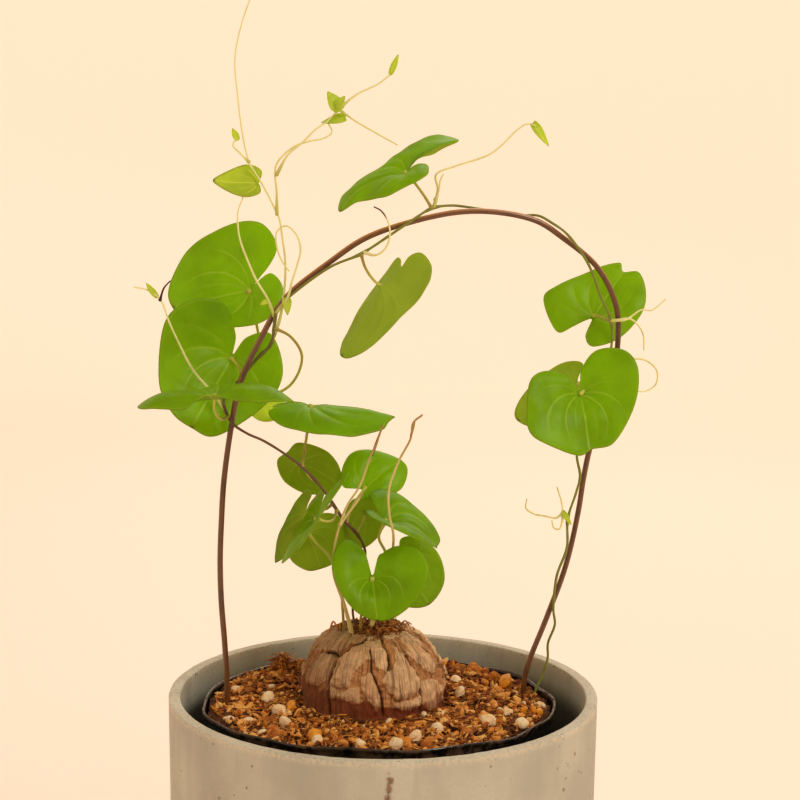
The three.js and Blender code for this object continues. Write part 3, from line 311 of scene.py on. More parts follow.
# A small leaf's outline, as shares of its half width and its length
LEAFLET = [(0, 1), (0.35, 0.86), (0.85, 0.5), (1, 0.2), (0.7, -0.06), (0.25, -0.06), (0, 0),
           (-0.25, -0.06), (-0.7, -0.06), (-1, 0.2), (-0.85, 0.5), (-0.35, 0.86)]
BUD = [(0, 1), (0.5, 0.85), (1, 0.45), (0.7, 0.08), (0, 0), (-0.7, 0.08), (-1, 0.45), (-0.5, 0.85)]

# Corky plates on the front of the caudex: outlines in degrees right of the front and millimetres above
# the soil, with how far each stands out
PLATES = [
    (1.5, [(-33, 19), (-24, 22), (-11, 23.6), (10, 23.7), (15, 19.7), (13, 16), (7, 16.2), (0, 18.8),
           (-7, 19), (-14, 17), (-17, 14), (-20, 10), (-26, 9.5), (-36, 10), (-37, 14.5)]),
    (1.9, [(25, 22), (31, 21), (36, 16.4), (41, 11.3), (39, 8), (33, 5.9), (22, 5.5), (14, 8.5),
           (10, 12.7), (16, 15.7), (22, 18.5)]),
    (1.7, [(42, 23.7), (60, 22.2), (65, 18.3), (71, 13.4), (63, 12.8), (48, 14.8), (41, 18.4),
           (36, 20.5)]),
    (1.1, [(-67, 11.7), (-61, 17.4), (-55, 19.3), (-39, 18.4), (-40, 14.4), (-41, 10.6), (-55, 6.9),
           (-73, 7.3)]),
    (1.2, [(-10, 13.4), (-2, 14.6), (4, 10.3), (7, 4), (4, 0.5), (-1, 3.9), (-6, 10.2)]),
    (1.2, [(45, 10.9), (61, 9.4), (77, 5), (75, 0), (57, -2), (45, 0.4), (42, 6.1)]),
    (0.9, [(-77, 18.4), (-79, 23.4), (-57, 25.5), (-14, 25.8), (7, 25), (-17, 24), (-31, 22.7),
           (-38, 20.2), (-55, 20.4)]),
    (1.0, [(19, 24.6), (61, 25), (73, 23.1), (71, 18.8), (63, 22.6), (40, 24.2), (22, 24)]),
    (1.2, [(18, 4), (33, 4.6), (40, 6), (39, 1), (22, 1.4)]),
    (0.8, [(-36, 8.6), (-22, 8.2), (-12, 10), (-9, 6), (-20, 4.5), (-36, 5.5)]),
]
CRACKS = [
    [(-11, 24.6), (-25, 22.6), (-36, 19), (-37.5, 14.5), (-39, 10.5), (-37, 4), (-36, -1)],
    [(-4, 21.2), (-2, 18.1), (2, 14.3), (6, 10.3), (8.5, 5.2), (8, 0)],
    [(15, 24.4), (15, 22.1), (17, 19.7), (13, 15.7)],
    [(32, 22), (36, 18.7), (43, 13.4), (43, 10.8), (42, 4), (43, -1)],
    [(-57, 20), (-47, 19.9), (-38, 19.2)],
]
BACK_PLATES = 26  # plates laid by rule around the sides and the back
CROWN_THREADS = 230  # dead roots and stem ends that stand on top
CROWN_HEIGHT = 155  # stalks that start lower than this come out of the crown

# How far from the liner's middle the soil and what lies loose on it reach
SOIL_REACH, LOOSE_REACH = 59.4, 57.6

# Pieces in the soil that stand out: across, deep, size, in millimetres
WHITE_GRAINS = [
    (-45.8, -20.6, 2.6), (-36, -10.4, 2.7), (4.7, -47.6, 2.8), (36.1, -23.2, 2.9), (42.8, -13.3, 2.2),
    (55.2, 0.5, 1.9), (11, -38.5, 2.4), (-7, -47, 2.4), (27.3, 8.8, 2.2), (26.4, 28, 2.6),
    (-40.5, -1.5, 2.2), (-33.1, -24, 2.4), (-52.7, 10.7, 2), (-21, -46, 2), (47, -27, 2.2),
]
ORANGE_GRAINS = [
    (-31.4, -10.5, 1.9, 1), (-22.1, -41, 2.6, 1.2), (44, 20.5, 3, 0.6), (52.3, -8, 1.6, 1),
    (54, -12.5, 1.7, 0.9), (49, -9, 1.5, 1), (-12, 46, 1.8, 1), (22, 44, 1.7, 1),
]
BARK_CHUNKS = [(-35, -36, 3.6, 0.3), (34, 40, 3.4, 0.4), (40, 28, 3, 0.4), (-24, 43, 3.2, 0.5),
               (5, 50, 3, 0.4), (16, -44, 3, 0.3), (28, -30, 2.6, 0.3), (-50, -8, 2.6, 0.3)]

# Tufts of crumbs and coir heaped on the soil: across, deep, half width, height
TUFTS = [(-38, 38, 3.4, 7.5), (-30, 40, 5, 3.5), (-46, 22, 6, 2), (-34, 6, 5, 2), (47, 16, 4, 2),
         (30, -20, 5, 1.4), (-18, -34, 5, 1.2), (8, -30, 6, 1.4), (34, 10, 6, 1.5)]


# The camera that matches the photo: its place in metres and its turns in degrees
CAMERA_AT, CAMERA_PITCH, CAMERA_ROLL = (0.00480, -0.62780, 0.32683), 8.5, 0.6

# The lamps: place and width in metres, and tint. They aim at one point, and the sky adds its light.
LAMPS = {"key": ((0.95, -0.95, 1.35), 0.45, (1.0, 0.94, 0.84)),
         "fill": ((-1.2, -0.9, 0.8), 0.9, (1.0, 0.93, 0.84)),
         "back": ((0.25, 1.2, 1.3), 0.9, (1.0, 0.95, 0.88))}
LAMP_AIM, SKY_STRENGTH = (0, 0, 0.2), 0.36


def linear(red, green, blue):
    """An sRGB colour from 0 to 255 as the linear colour that shaders take."""
    share = np.array([red, green, blue]) / 255
    return tuple(np.where(share < 0.04045, share / 12.92, ((share + 0.055) / 1.055) ** 2.4).tolist())


def toned(colour, share):
    """The colour, darker or lighter by that share."""
    return [min(1, c * share) for c in colour]


def size(name, millimetres, description):
    return FloatProperty(name=name, description=description, default=millimetres * MM, min=0,
                         subtype="DISTANCE", unit="LENGTH", precision=4)


def shade(name, rgb, description):
    return FloatVectorProperty(name=name, description=description, default=linear(*rgb), size=3,
                               min=0, max=1, subtype="COLOR")


def count(name, number, description):
    return IntProperty(name=name, description=description, default=number, min=0)


POT_LOW, POT_HIGH = (np.array(corner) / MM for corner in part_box("cement_pot"))


class PotSettings(PropertyGroup):
    radius: size("Radius", POT_HIGH[0], "Half the width of the concrete pot's rim")
    height: size("Height", POT_HIGH[2], "Height of the concrete pot")
    wall: size("Wall", 4, "Thickness of the concrete")
    concrete: shade("Concrete", (197, 195, 178), "Colour of the concrete")
    stain: shade("Stain", (118, 78, 40), "Colour of the drip down the front")
    liner_radius: size("Liner radius", 60.8, "Half the width of the grower's pot at its rim")
    liner_foot: size("Liner foot", 46, "Half the width of the grower's pot at its foot")
    liner_wall: size("Liner wall", 0.6, "Thickness of the grower's pot")
    liner_wave: size("Liner wave", 0.9, "How far the soft rim waves")
    plastic: shade("Plastic", (20, 19, 18), "Colour of the grower's pot")


class SoilSettings(PropertyGroup):
    level: size("Level", 124.2, "Height of the soil's top")
    crumbs: count("Crumbs", 1500, "Small crumbs of bark")
    chips: count("Chips", 1900, "Flat chips of husk and bark")
    grains: count("Grains", 260, "Grains of bark and husk")
    fibres: count("Fibres", 1000, "Threads of coir")
    soil: shade("Soil", (112, 62, 24), "Colour of the fine soil")
    bark: shade("Bark", (164, 90, 32), "Colour of the bark")
    husk: shade("Husk", (226, 150, 62), "Colour of the coir")
    straw: shade("Straw", (240, 190, 108), "Colour of the paler bits")
    pumice: shade("Pumice", (248, 230, 194), "Colour of the pumice")
    prill: shade("Prills", (240, 158, 14), "Colour of the fertiliser prills")


class PlantSettings(PropertyGroup):
    wire_radius: size("Wire radius", 1, "Half the thickness of the coated wire")
    vine_radius: size("Vine radius", 0.46, "Half the thickness of the main stem")
    shoot_radius: size("Shoot radius", 0.4, "Half the thickness of a side shoot at its root")
    petiole_radius: size("Petiole radius", 0.5, "Half the thickness of a leaf stalk")
    blade: size("Blade", 0.42, "Thickness of a leaf blade")
    wire: shade("Wire", (104, 62, 20), "Colour of the wire's coating")
    vine: shade("Vine", (126, 135, 50), "Colour of the young main stem")
    old_vine: shade("Old vine", (104, 80, 50), "Colour of the main stem near the crown")
    shoot: shade("Shoot", (238, 236, 168), "Colour of the side shoots and leaf stalks")
    dry: shade("Dry stem", (214, 198, 126), "Colour of the dried stems")
    leaf: shade("Leaf", (134, 192, 0), "Colour of a blade's upper side")
    leaf_light: shade("Leaf veins", (186, 216, 66), "Colour of the veins")
    underside: shade("Underside", (190, 202, 78), "Colour of a blade's underside")
    olive: shade("Olive leaf", (126, 144, 18), "Colour of the older, duller blades")
    young: shade("Young leaf", (242, 250, 92), "Colour of the small young leaves")
    plate: shade("Corky plate", (252, 210, 160), "Colour of the dry plates")
    cork: shade("Cork", (222, 160, 104), "Colour of the cork between the plates")
    dark_cork: shade("Wet cork", (132, 66, 34), "Colour of the cork's foot")


class StageSettings(PropertyGroup):
    backdrop: shade("Backdrop", (222, 204, 186), "Colour of the floor and the wall behind")
    shine: shade("Shine", (255, 230, 206), "Colour in which the backdrop shines by itself")
    glow: FloatProperty(name="Glow", description="How brightly the backdrop shines by itself",
                        default=0.58, min=0)
    key: FloatProperty(name="Key light", description="Power of the large light at the right",
                       default=11.5, min=0, subtype="POWER", unit="POWER")
    fill: FloatProperty(name="Fill light", description="Power of the light at the left",
                        default=2.4, min=0, subtype="POWER", unit="POWER")
    back: FloatProperty(name="Back light", description="Power of the light behind the plant",
                        default=7, min=0, subtype="POWER", unit="POWER")
    lens: FloatProperty(name="Lens", description="Focal length on a 36 mm wide sensor, in mm",
                        default=83.25, min=1, subtype="DISTANCE_CAMERA")


class Number:
    """A shader socket that holds a number. The operators between such numbers add Math nodes."""

    def __init__(self, look, socket):
        self.look = look
        self.socket = socket

    def math(self, operation, first, second=0.0):
        return self.look.node("ShaderNodeMath", {"operation": operation}, {0: first, 1: second})

    def __add__(self, other):
        return self.math("ADD", self, other)

    def __sub__(self, other):
        return self.math("SUBTRACT", self, other)

    def __rsub__(self, other):
        return self.math("SUBTRACT", other, self)

    def __mul__(self, other):
        return self.math("MULTIPLY", self, other)

    def __truediv__(self, other):
        return self.math("DIVIDE", self, other)

    def __pow__(self, other):
        return self.math("POWER", self, other)

    def __abs__(self):
        return self.math("ABSOLUTE", self)

    __radd__ = __add__
    __rmul__ = __mul__

    def rise(self, low, high):
        """0 up to low, 1 from high on, and smooth between; the other way round if low is higher."""
        return self.look.node("ShaderNodeMapRange", {"interpolation_type": "SMOOTHSTEP"},
                              {"Value": self, "From Min": low, "From Max": high})


class Look:
    """A material being made, around one Principled shader."""

    def __init__(self, name, **constants):
        self.material = bpy.data.materials.new(name)
        self.material.use_nodes = True
        self.tree = self.material.node_tree
        self.tree.nodes.clear()
        self.shader = self.tree.nodes.new("ShaderNodeBsdfPrincipled")
        for socket, value in constants.items():
            self.shader.inputs[socket.replace("_", " ")].default_value = value

    def node(self, kind, settings=None, values=None, output=0):
        """A node of that kind, with its settings and the values or links of its sockets."""
        node = self.tree.nodes.new(kind)
        for key, value in (settings or {}).items():
            setattr(node, key, value)
        for key, value in (values or {}).items():
            self.put(node.inputs[key], value)
        return Number(self, node.outputs[output])

    def put(self, socket, value):
        if isinstance(value, Number):
            self.tree.links.new(value.socket, socket)
        elif socket.type == "RGBA":
            socket.default_value = (*value[:3], 1)
        else:
            socket.default_value = value

    def place(self, scale=(1, 1, 1)):
        """Object coordinates, stretched by scale."""
        place = self.node("ShaderNodeTexCoord", output="Object")
        return self.node("ShaderNodeMapping", None, {"Vector": place, "Scale": scale})

    def axes(self, vector):
        return [self.node("ShaderNodeSeparateXYZ", None, {"Vector": vector}, axis) for axis in "XYZ"]

    def noise(self, grain, detail=3.0, stretch=(1, 1, 1), warp=0.0, roughness=0.55):
        """Noise from 0 to 1 whose lumps are grain millimetres wide."""
        return self.node("ShaderNodeTexNoise", None, {
            "Vector": self.place(stretch), "Scale": 1 / (grain * MM), "Detail": detail,
            "Roughness": roughness, "Distortion": warp})

    def cells(self, grain, feature="F1", stretch=(1, 1, 1)):
        return self.node("ShaderNodeTexVoronoi", {"feature": feature}, {
            "Vector": self.place(stretch), "Scale": 1 / (grain * MM)}, "Distance")

    def given(self, name, output="Fac"):
        """An attribute that the mesh carries."""
        return self.node("ShaderNodeAttribute", {"attribute_name": name}, None, output)

    def mix(self, share, first, second):
        return self.node("ShaderNodeMix", {"data_type": "RGBA"}, {0: share, 6: first, 7: second}, 2)

    def bump(self, height, depth, strength=1.0):
        """A normal for relief: depth is in millimetres for a height from 0 to 1."""
        return self.node("ShaderNodeBump", None, {
            "Height": height, "Distance": depth * MM, "Strength": strength})

    def done(self, colour, roughness, normal=None, through=None):
        """The finished material. through is how much of the surface passes light on, and its colour."""
        self.put(self.shader.inputs["Base Color"], colour)
        self.put(self.shader.inputs["Roughness"], roughness)
        if normal:
            self.put(self.shader.inputs["Normal"], normal)
        shown = Number(self, self.shader.outputs[0])
        if through:
            share, tint = through
            passed = self.node("ShaderNodeBsdfTranslucent", None, {"Color": tint})
            shown = self.node("ShaderNodeMixShader", None, {0: share, 1: shown, 2: passed})
        output = self.tree.nodes.new("ShaderNodeOutputMaterial")
        self.tree.links.new(shown.socket, output.inputs["Surface"])
        return self.material


def concrete_look(settings):
    """Heights are in metres from the pot's foot. The gap is the shadow between the two pots."""
    look = Look("concrete", Specular_IOR_Level=0.3)
    across, deep, up = look.axes(look.place())
    rim, front, inside = float(POT_HIGH[2]) * MM, float(POT_LOW[1]) * MM, 0.072
    cloud = look.noise(30, 3, (1, 1, 0.7))
    streak = look.noise(6, 2, (1, 1, 0.12))
    fine = look.noise(0.9, 2)
    colour = look.mix(cloud.rise(0.36, 0.66), toned(settings.concrete, 0.8), settings.concrete)
    colour = look.mix(streak.rise(0.5, 0.72) * 0.5, colour, toned(settings.concrete, 0.76))
    colour = look.mix(fine.rise(0.35, 0.8) * 0.3, colour, toned(settings.concrete, 0.78))
    # The top of the rim, in patches, is painted paler: a painted highlight where the light falls on the
    # rim's top.
    worn = up.rise(rim - 0.003, rim - 0.0006) * look.noise(1.2, 3).rise(0.3, 0.62)
    colour = look.mix(worn * 0.42, colour, linear(238, 222, 192))
    gap = (across * across + deep * deep).rise(inside ** 2 + 6.6e-5, inside ** 2 - 8.4e-5)
    gap = gap * up.rise(rim - 0.0065, rim - 0.016)
    colour = look.mix(gap * 0.8, colour, toned(settings.concrete, 0.12))
    pits = look.cells(3.1).rise(0.16, 0.1) * look.noise(14, 1).rise(0.5, 0.62)
    colour = look.mix(pits * 0.75, colour, toned(settings.concrete, 0.35))
    wander = (look.noise(7, 3) - 0.5) * 0.0036
    drip = abs(across + wander - 0.0029).rise(0.0016, 0.0003) * deep.rise(front + 0.004, front + 0.001)
    drip = drip * up.rise(rim - 0.06, rim - 0.04) * up.rise(rim - 0.0044, rim - 0.0052)
    drip = drip * look.noise(2.2, 4).rise(0.3, 0.55)
    spots = look.cells(21).rise(0.05, 0.02) * up.rise(0.02, 0.03)
    colour = look.mix(drip * 0.85, colour, settings.stain)
    colour = look.mix(spots * 0.6, colour, settings.stain)
    relief = fine * 0.5 + look.noise(0.35, 2) * 0.35 - pits * 1.6
    return look.done(colour, 0.72 + fine * 0.2, look.bump(relief, 0.28, 0.7))


def plastic_look(settings):
    look = Look("black_plastic", Specular_IOR_Level=0.4)
    up = look.axes(look.place())[2]
    rim = up.rise(0.1248, 0.1258) * look.noise(4, 4).rise(0.4, 0.65)
    dust = look.noise(2.2, 5).rise(0.58, 0.78) * 0.12 + rim * 0.5
    colour = look.mix(dust, settings.plastic, linear(112, 84, 54))
    relief = look.noise(7, 2, (1, 1, 0.7)) + look.noise(0.8, 2) * 0.05
    return look.done(colour, 0.16 + dust.rise(0, 0.5) * 0.6, look.bump(relief, 1.4, 0.6))


def soil_look(settings):
    look = Look("soil", Specular_IOR_Level=0.25)
    lump = look.noise(3.2, 4, (1, 1, 1), 0.4, 0.7)
    thread = look.noise(1.1, 4, (1, 0.25, 1), 1.5)
    colour = look.mix(lump.rise(0.3, 0.7), toned(settings.soil, 0.22), settings.soil)
    colour = look.mix(thread.rise(0.55, 0.75) * 0.7, colour, settings.husk)
    relief = lump + thread * 0.6 + look.noise(0.5, 3) * 0.4
    return look.done(colour, 0.9, look.bump(relief, 1.4))


def grain_look(settings):
    """Bark and pumice: each grain has its tint, from dark bark at 0 to pale pumice at 1."""
    look = Look("bark_and_pumice", Specular_IOR_Level=0.25)
    mottle = look.noise(1.4, 3)
    tint = look.given("tint") + (mottle - 0.5) * 0.5
    colour = look.mix(tint.rise(0, 0.25), toned(settings.bark, 0.2), settings.bark)
    colour = look.mix(tint.rise(0.25, 0.5), colour, settings.husk)
    colour = look.mix(tint.rise(0.5, 0.75), colour, settings.straw)
    colour = look.mix(tint.rise(0.75, 1), colour, settings.pumice)
    relief = mottle + look.noise(0.5, 1) * 0.5
    return look.done(colour, 0.86, look.bump(relief, 0.5))


def prill_look(settings):
    look = Look("prill", Specular_IOR_Level=0.5)
    mottle = look.noise(1.1, 3)
    colour = look.mix(mottle.rise(0.4, 0.75), settings.prill, toned(settings.prill, 0.5))
    return look.done(colour, 0.38 + mottle * 0.2, look.bump(mottle, 0.2))


def fibre_look(settings):
    look = Look("coir", Specular_IOR_Level=0.3)
    colour = look.mix(look.given("tint"), toned(settings.bark, 0.45), settings.husk)
    return look.done(colour, 0.8)


def cork_look(settings):
    """plate, crack and foot are shares that the caudex's mesh carries. The fibres are noise over the
    direction from the caudex's axis, so that they run down its sides and in to its top."""
    look = Look("cork", Specular_IOR_Level=0.25)
    plate = look.given("plate")
    crack = look.given("crack")
    foot = look.given("foot")
    x, y, z = look.axes(look.place())
    x, y = x - float(CAUDEX[0]) * MM, y - float(CAUDEX[1]) * MM
    far = (x * x + y * y) ** 0.5 + 0.001

    def fibres(turns, rise_by, detail):
        """Noise of that many lumps to a radian around the axis, much longer down it."""
        way = look.node("ShaderNodeCombineXYZ", None, {
            0: x / far * turns, 1: y / far * turns, 2: (z + far * 0.6) * rise_by})
        return look.node("ShaderNodeTexNoise", None, {
            "Vector": way, "Scale": 1, "Detail": detail, "Roughness": 0.6})

    strands, hairs = fibres(18, 60, 3), fibres(58, 110, 2)
    flake = look.noise(3, 4, (1, 1, 0.6), 0.8, 0.65)
    warm = look.noise(9, 3)
    under = look.mix(strands.rise(0.35, 0.65), toned(settings.cork, 0.55), settings.cork)
    top = look.mix(flake.rise(0.35, 0.68), toned(settings.plate, 0.72), settings.plate)
    top = look.mix(warm.rise(0.42, 0.66) * 0.4, top, settings.cork)
    colour = look.mix(plate.rise(0.3, 0.55), under, top)
    # A pale band just inside each plate's edge is a painted highlight on the plates' edges.
    rim = plate.rise(0.32, 0.46) * plate.rise(0.66, 0.5)
    colour = look.mix(rim * 0.3, colour, toned(settings.plate, 1.3))
    colour = look.mix(hairs.rise(0.52, 0.66) * 0.62, colour, toned(settings.cork, 0.4))
    colour = look.mix(strands.rise(0.47, 0.36) * 0.5, colour, toned(settings.cork, 0.22))
    dark = foot * 1.15 - plate.rise(0.4, 0.8) * foot * 0.5 + (hairs - 0.5) * foot * 0.9
    colour = look.mix(dark.rise(0.3, 0.85), colour, settings.dark_cork)
    # The caudex's left side is painted darker: painted shade on the side away from the key light.
    colour = look.mix(x.rise(0.004, -0.024) * 0.5, colour, toned(settings.cork, 0.34))
    # The cracks along the plates' edges are painted nearly black: painted shade in the cracks.
    colour = look.mix(crack.rise(0.2, 0.8) * 0.92, colour, toned(settings.cork, 0.1))
    specks = look.cells(2.4, "F1", (1, 1, 0.5)).rise(0.12, 0.05) * warm.rise(0.4, 0.5)
    colour = look.mix(specks * 0.6, colour, toned(settings.cork, 0.3))
    relief = flake * 0.6 + strands * 1.3 - hairs * 0.8 + look.noise(0.5, 3) * 0.25
    return look.done(colour, 0.82, look.bump(relief, 1.1, 1.0))


def wire_look(settings):
    look = Look("coated_wire", Specular_IOR_Level=0.5, Coat_Weight=0.6, Coat_Roughness=0.2)
    wear = look.noise(6, 4)
    colour = look.mix(wear.rise(0.45, 0.75), settings.wire, toned(settings.wire, 0.55))
    # The wire's upper side is painted golden where it faces up: a painted highlight from the light above.
    colour = look.mix(look.given("upward").rise(0.1, 0.8) * 0.7, colour, linear(214, 148, 78))
    return look.done(colour, 0.3 + wear * 0.15, look.bump(look.noise(1.2, 2), 0.05))


def stem_look(name, young, old, ends, bump=0.12):
    """A stem whose colour runs from old to young between two shares of its length."""
    look = Look(name, Specular_IOR_Level=0.35)
    along = look.given("along")
    mottle = look.noise(2.2, 4, (1, 1, 0.4))
    colour = look.mix((along + mottle * 0.12 - 0.06).rise(*ends), old, young)
    colour = look.mix(mottle.rise(0.5, 0.8) * 0.4, colour, toned(old, 0.6))
    return look.done(colour, 0.45 + mottle * 0.2, look.bump(mottle, bump))


VEINS = [(2.5, 0.45), (1.97, 1.0), (1.35, 0.8), (0.9, 0.4)]


def leaf_look(name, upper, veins, below, olive):
    """A blade's colours and veins. blade is a point's place on the leaf, right and tipward of the joint,
    as shares of the distance from joint to tip. The side veins are arcs of circles through joint and
    tip: on each the angle between the lines to the joint and to the tip stays the same. That angle is
    arctan(|x| / (x*x + y*y - y)), and a step of it is worth the product of the two distances."""
    look = Look(name, Specular_IOR_Level=0.24)
    x, y, share = look.axes(look.given("blade", "Vector"))
    over = look.given("side").rise(0.4, 0.6)
    dull = look.given("dull")
    wander = (look.noise(6, 2) - 0.5) * 0.05
    side = abs(x + wander * 0.4)
    near = (side * side + y * y) ** 0.5
    far = (side * side + (1 - y) * (1 - y)) ** 0.5
    angle = side.math("ARCTAN2", side, side * side + y * y - y)
    worth = near * far
    thin = 0.006 + 0.009 * (1 - y).rise(0, 1)
    lines = (np.pi - angle) * worth
    lines = lines.rise(0.02, 0.004) * y.rise(-0.01, 0.03) * y.rise(1.01, 0.95)
    for turn, strength in VEINS:
        off = abs(angle - turn + wander) * worth
        line = (off / thin).rise(1.4, 0.25) * strength * near.rise(0.0, 0.05) * share.rise(1.0, 0.55)
        lines = lines.math("MAXIMUM", lines, line)
    net = look.cells(2.6, "DISTANCE_TO_EDGE").rise(0.09, 0.0) * 0.22
    cloud = look.noise(12, 2)
    fine = look.noise(1.8, 2)
    top = look.mix(cloud.rise(0.35, 0.7), upper, toned(upper, 0.64))
    top = look.mix(fine.rise(0.45, 0.75) * 0.4, top, toned(upper, 0.72))
    top = look.mix(dull, top, olive)
    under = look.mix(cloud.rise(0.3, 0.75), below, toned(below, 0.82))
    under = look.mix(dull, under, olive)
    colour = look.mix(over, under, top)
    colour = look.mix(lines * 0.6 + net * 0.4, colour, veins)
    colour = look.mix(share.rise(0.95, 1.0) * 0.6, colour, veins)
    colour = look.mix(near.rise(0.07, 0.0) * 0.8, colour, veins)
    tip = (side * side + (y - 1) * (y - 1)) ** 0.5
    colour = look.mix(tip.rise(0.06, 0.015) * 0.85, colour, linear(96, 56, 26))
    relief = fine * 0.25 + cloud * 0.6
    rough = 0.58 - over * 0.24 + fine * 0.12
    share_through = 0.52 - lines * 0.15 - dull * 0.12
    return look.done(colour, rough, look.bump(relief, 0.35), (share_through, linear(190, 228, 0)))


class Surface:
    """Points in millimetres, blocks of faces, the number of their look and numbers at the points."""

    def __init__(self, points, blocks, look=0, **given):
        self.points = points
        self.blocks = blocks
        self.look = look
        self.given = given


def make_piece(name, surfaces, looks, nodes=(), smooth=True):
    """One mesh object of all the surfaces, riding on the root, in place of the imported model's nodes."""
    starts = np.cumsum([0] + [len(surface.points) for surface in surfaces])
    faces, marks = [], []
    for surface, start in zip(surfaces, starts):
        for block in surface.blocks:
            faces += (block + start).tolist()
            marks.append(np.full(len(block), surface.look))
    mesh = bpy.data.meshes.new(name)
    mesh.from_pydata((np.concatenate([s.points for s in surfaces]) * MM).tolist(), [], faces)
    mesh.polygons.foreach_set("material_index", np.concatenate(marks).astype(np.int32))
    mesh.polygons.foreach_set("use_smooth", np.full(len(faces), smooth))
    for key in sorted({key for surface in surfaces for key in surface.given}):
        wide = key == "blade"
        values = [np.broadcast_to(s.given.get(key, 0.0), (len(s.points), 3) if wide else len(s.points))
                  for s in surfaces]
        kind = "FLOAT_VECTOR" if wide else "FLOAT"
        attribute = mesh.attributes.new(key, kind, "POINT")
        attribute.data.foreach_set("vector" if wide else "value",
                                   np.concatenate(values).astype(np.float32).ravel())
    for look in looks:
        mesh.materials.append(look)
    mesh.update()
    piece = bpy.data.objects.new(name, mesh)
    bpy.context.scene.collection.objects.link(piece)
    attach(piece, "root")
    if nodes:
        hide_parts(*nodes)
    return piece


def skin(rings, look=0, **given):
    """A closed surface through rings of points, an array of stations by points around, with a fan of
    triangles to the middle of the first and of the last ring, turned so that it faces out."""
    rows, columns = rings.shape[:2]
    here = np.arange(rows * columns).reshape(rows, columns)
    after = np.roll(here, -1, axis=1)
    walls = np.stack([here[:-1], after[:-1], after[1:], here[1:]], -1).reshape(-1, 4)
    ends = np.concatenate([
        np.stack([after[0], here[0], np.full(columns, rows * columns)], -1),
        np.stack([here[-1], after[-1], np.full(columns, rows * columns + 1)], -1)])
    points = np.concatenate([rings.reshape(-1, 3), rings[[0, -1]].mean(1)])
    a, b, c, d = points[walls].transpose(1, 0, 2)
    volume = (np.cross(b, c) * a).sum() + (np.cross(c, d) * a).sum()
    e, f, g = points[ends].transpose(1, 0, 2)
    if volume + (np.cross(f, g) * e).sum() < 0:
        walls, ends = walls[:, ::-1], ends[:, ::-1]
    kept = {}
    for key, value in given.items():
        grid = np.broadcast_to(value, (rows, columns) + np.shape(value)[2:])
        flat = grid.reshape(rows * columns, *grid.shape[2:])
        kept[key] = np.concatenate([flat, grid[[0, -1]].mean(1)])
    return Surface(points, [walls, ends], look, **kept)


def lumps(points, grain, seed=0):
    """Smooth noise from -1 to 1: random numbers at the corners of cubes grain wide, blended by
    3t*t - 2t*t*t along each axis."""
    cells = np.asarray(points, float) / grain
    base = np.floor(cells).astype(np.int64)
    t = cells - base
    t = t * t * (3 - 2 * t)
    total = np.zeros(cells.shape[:-1])
    for corner in np.ndindex(2, 2, 2):
        key = (base + corner) @ np.array([73856093, 19349663, 83492791]) + seed * 7919
        key = ((key ^ (key >> 13)) * 1274126177) & 0xFFFFFFFF
        key = key ^ (key >> 15)
        weight = np.where(np.array(corner) == 1, t, 1 - t).prod(-1)
        total += weight * ((key & 0xFFFF) / 32767.5 - 1)
    return total


def rise(value, low, high):
    """0 up to low, 1 from high on, and smooth between."""
    t = np.clip((value - low) / (high - low), 0, 1)
    return t * t * (3 - 2 * t)


def through(route, per=8):
    """A smooth curve through the route's points: cubic pieces whose slopes come from each point's
    neighbours, spaced by the square root of their distances."""
    p = np.asarray(route, float)
    p = np.concatenate([[2 * p[0] - p[1]], p, [2 * p[-1] - p[-2]]])
    gap = np.sqrt(np.linalg.norm(np.diff(p, axis=0), axis=1))[:, None]
    a, b, c, d = p[:-3], p[1:-2], p[2:-1], p[3:]
    g0, g1, g2 = gap[:-2], gap[1:-1], gap[2:]
    left = ((b - a) / g0 - (c - a) / (g0 + g1) + (c - b) / g1) * g1
    right = ((c - b) / g1 - (d - b) / (g1 + g2) + (d - c) / g2) * g1
    t = (np.arange(per) / per)[None, :, None]
    b, c, left, right = b[:, None], c[:, None], left[:, None], right[:, None]
    curve = (b + left * t + (3 * (c - b) - 2 * left - right) * t ** 2
             + (2 * (b - c) + left + right) * t ** 3)
    return np.concatenate([curve.reshape(-1, p.shape[1]), p[-2:-1]])


def closed_through(route, per):
    """A closed curve through points in a plane: each slope is half the step between the neighbours."""
    b = np.asarray(route, float)
    a, c, d = np.roll(b, 1, 0), np.roll(b, -1, 0), np.roll(b, -2, 0)
    a, b, c, d = a[:, None], b[:, None], c[:, None], d[:, None]
    t = (np.arange(per) / per)[None, :, None]
    curve = (b + 0.5 * (c - a) * t + (a - 2.5 * b + 2 * c - 0.5 * d) * t ** 2
             + (1.5 * (b - c) + 0.5 * (d - a)) * t ** 3)
    return curve.reshape(-1, 2)


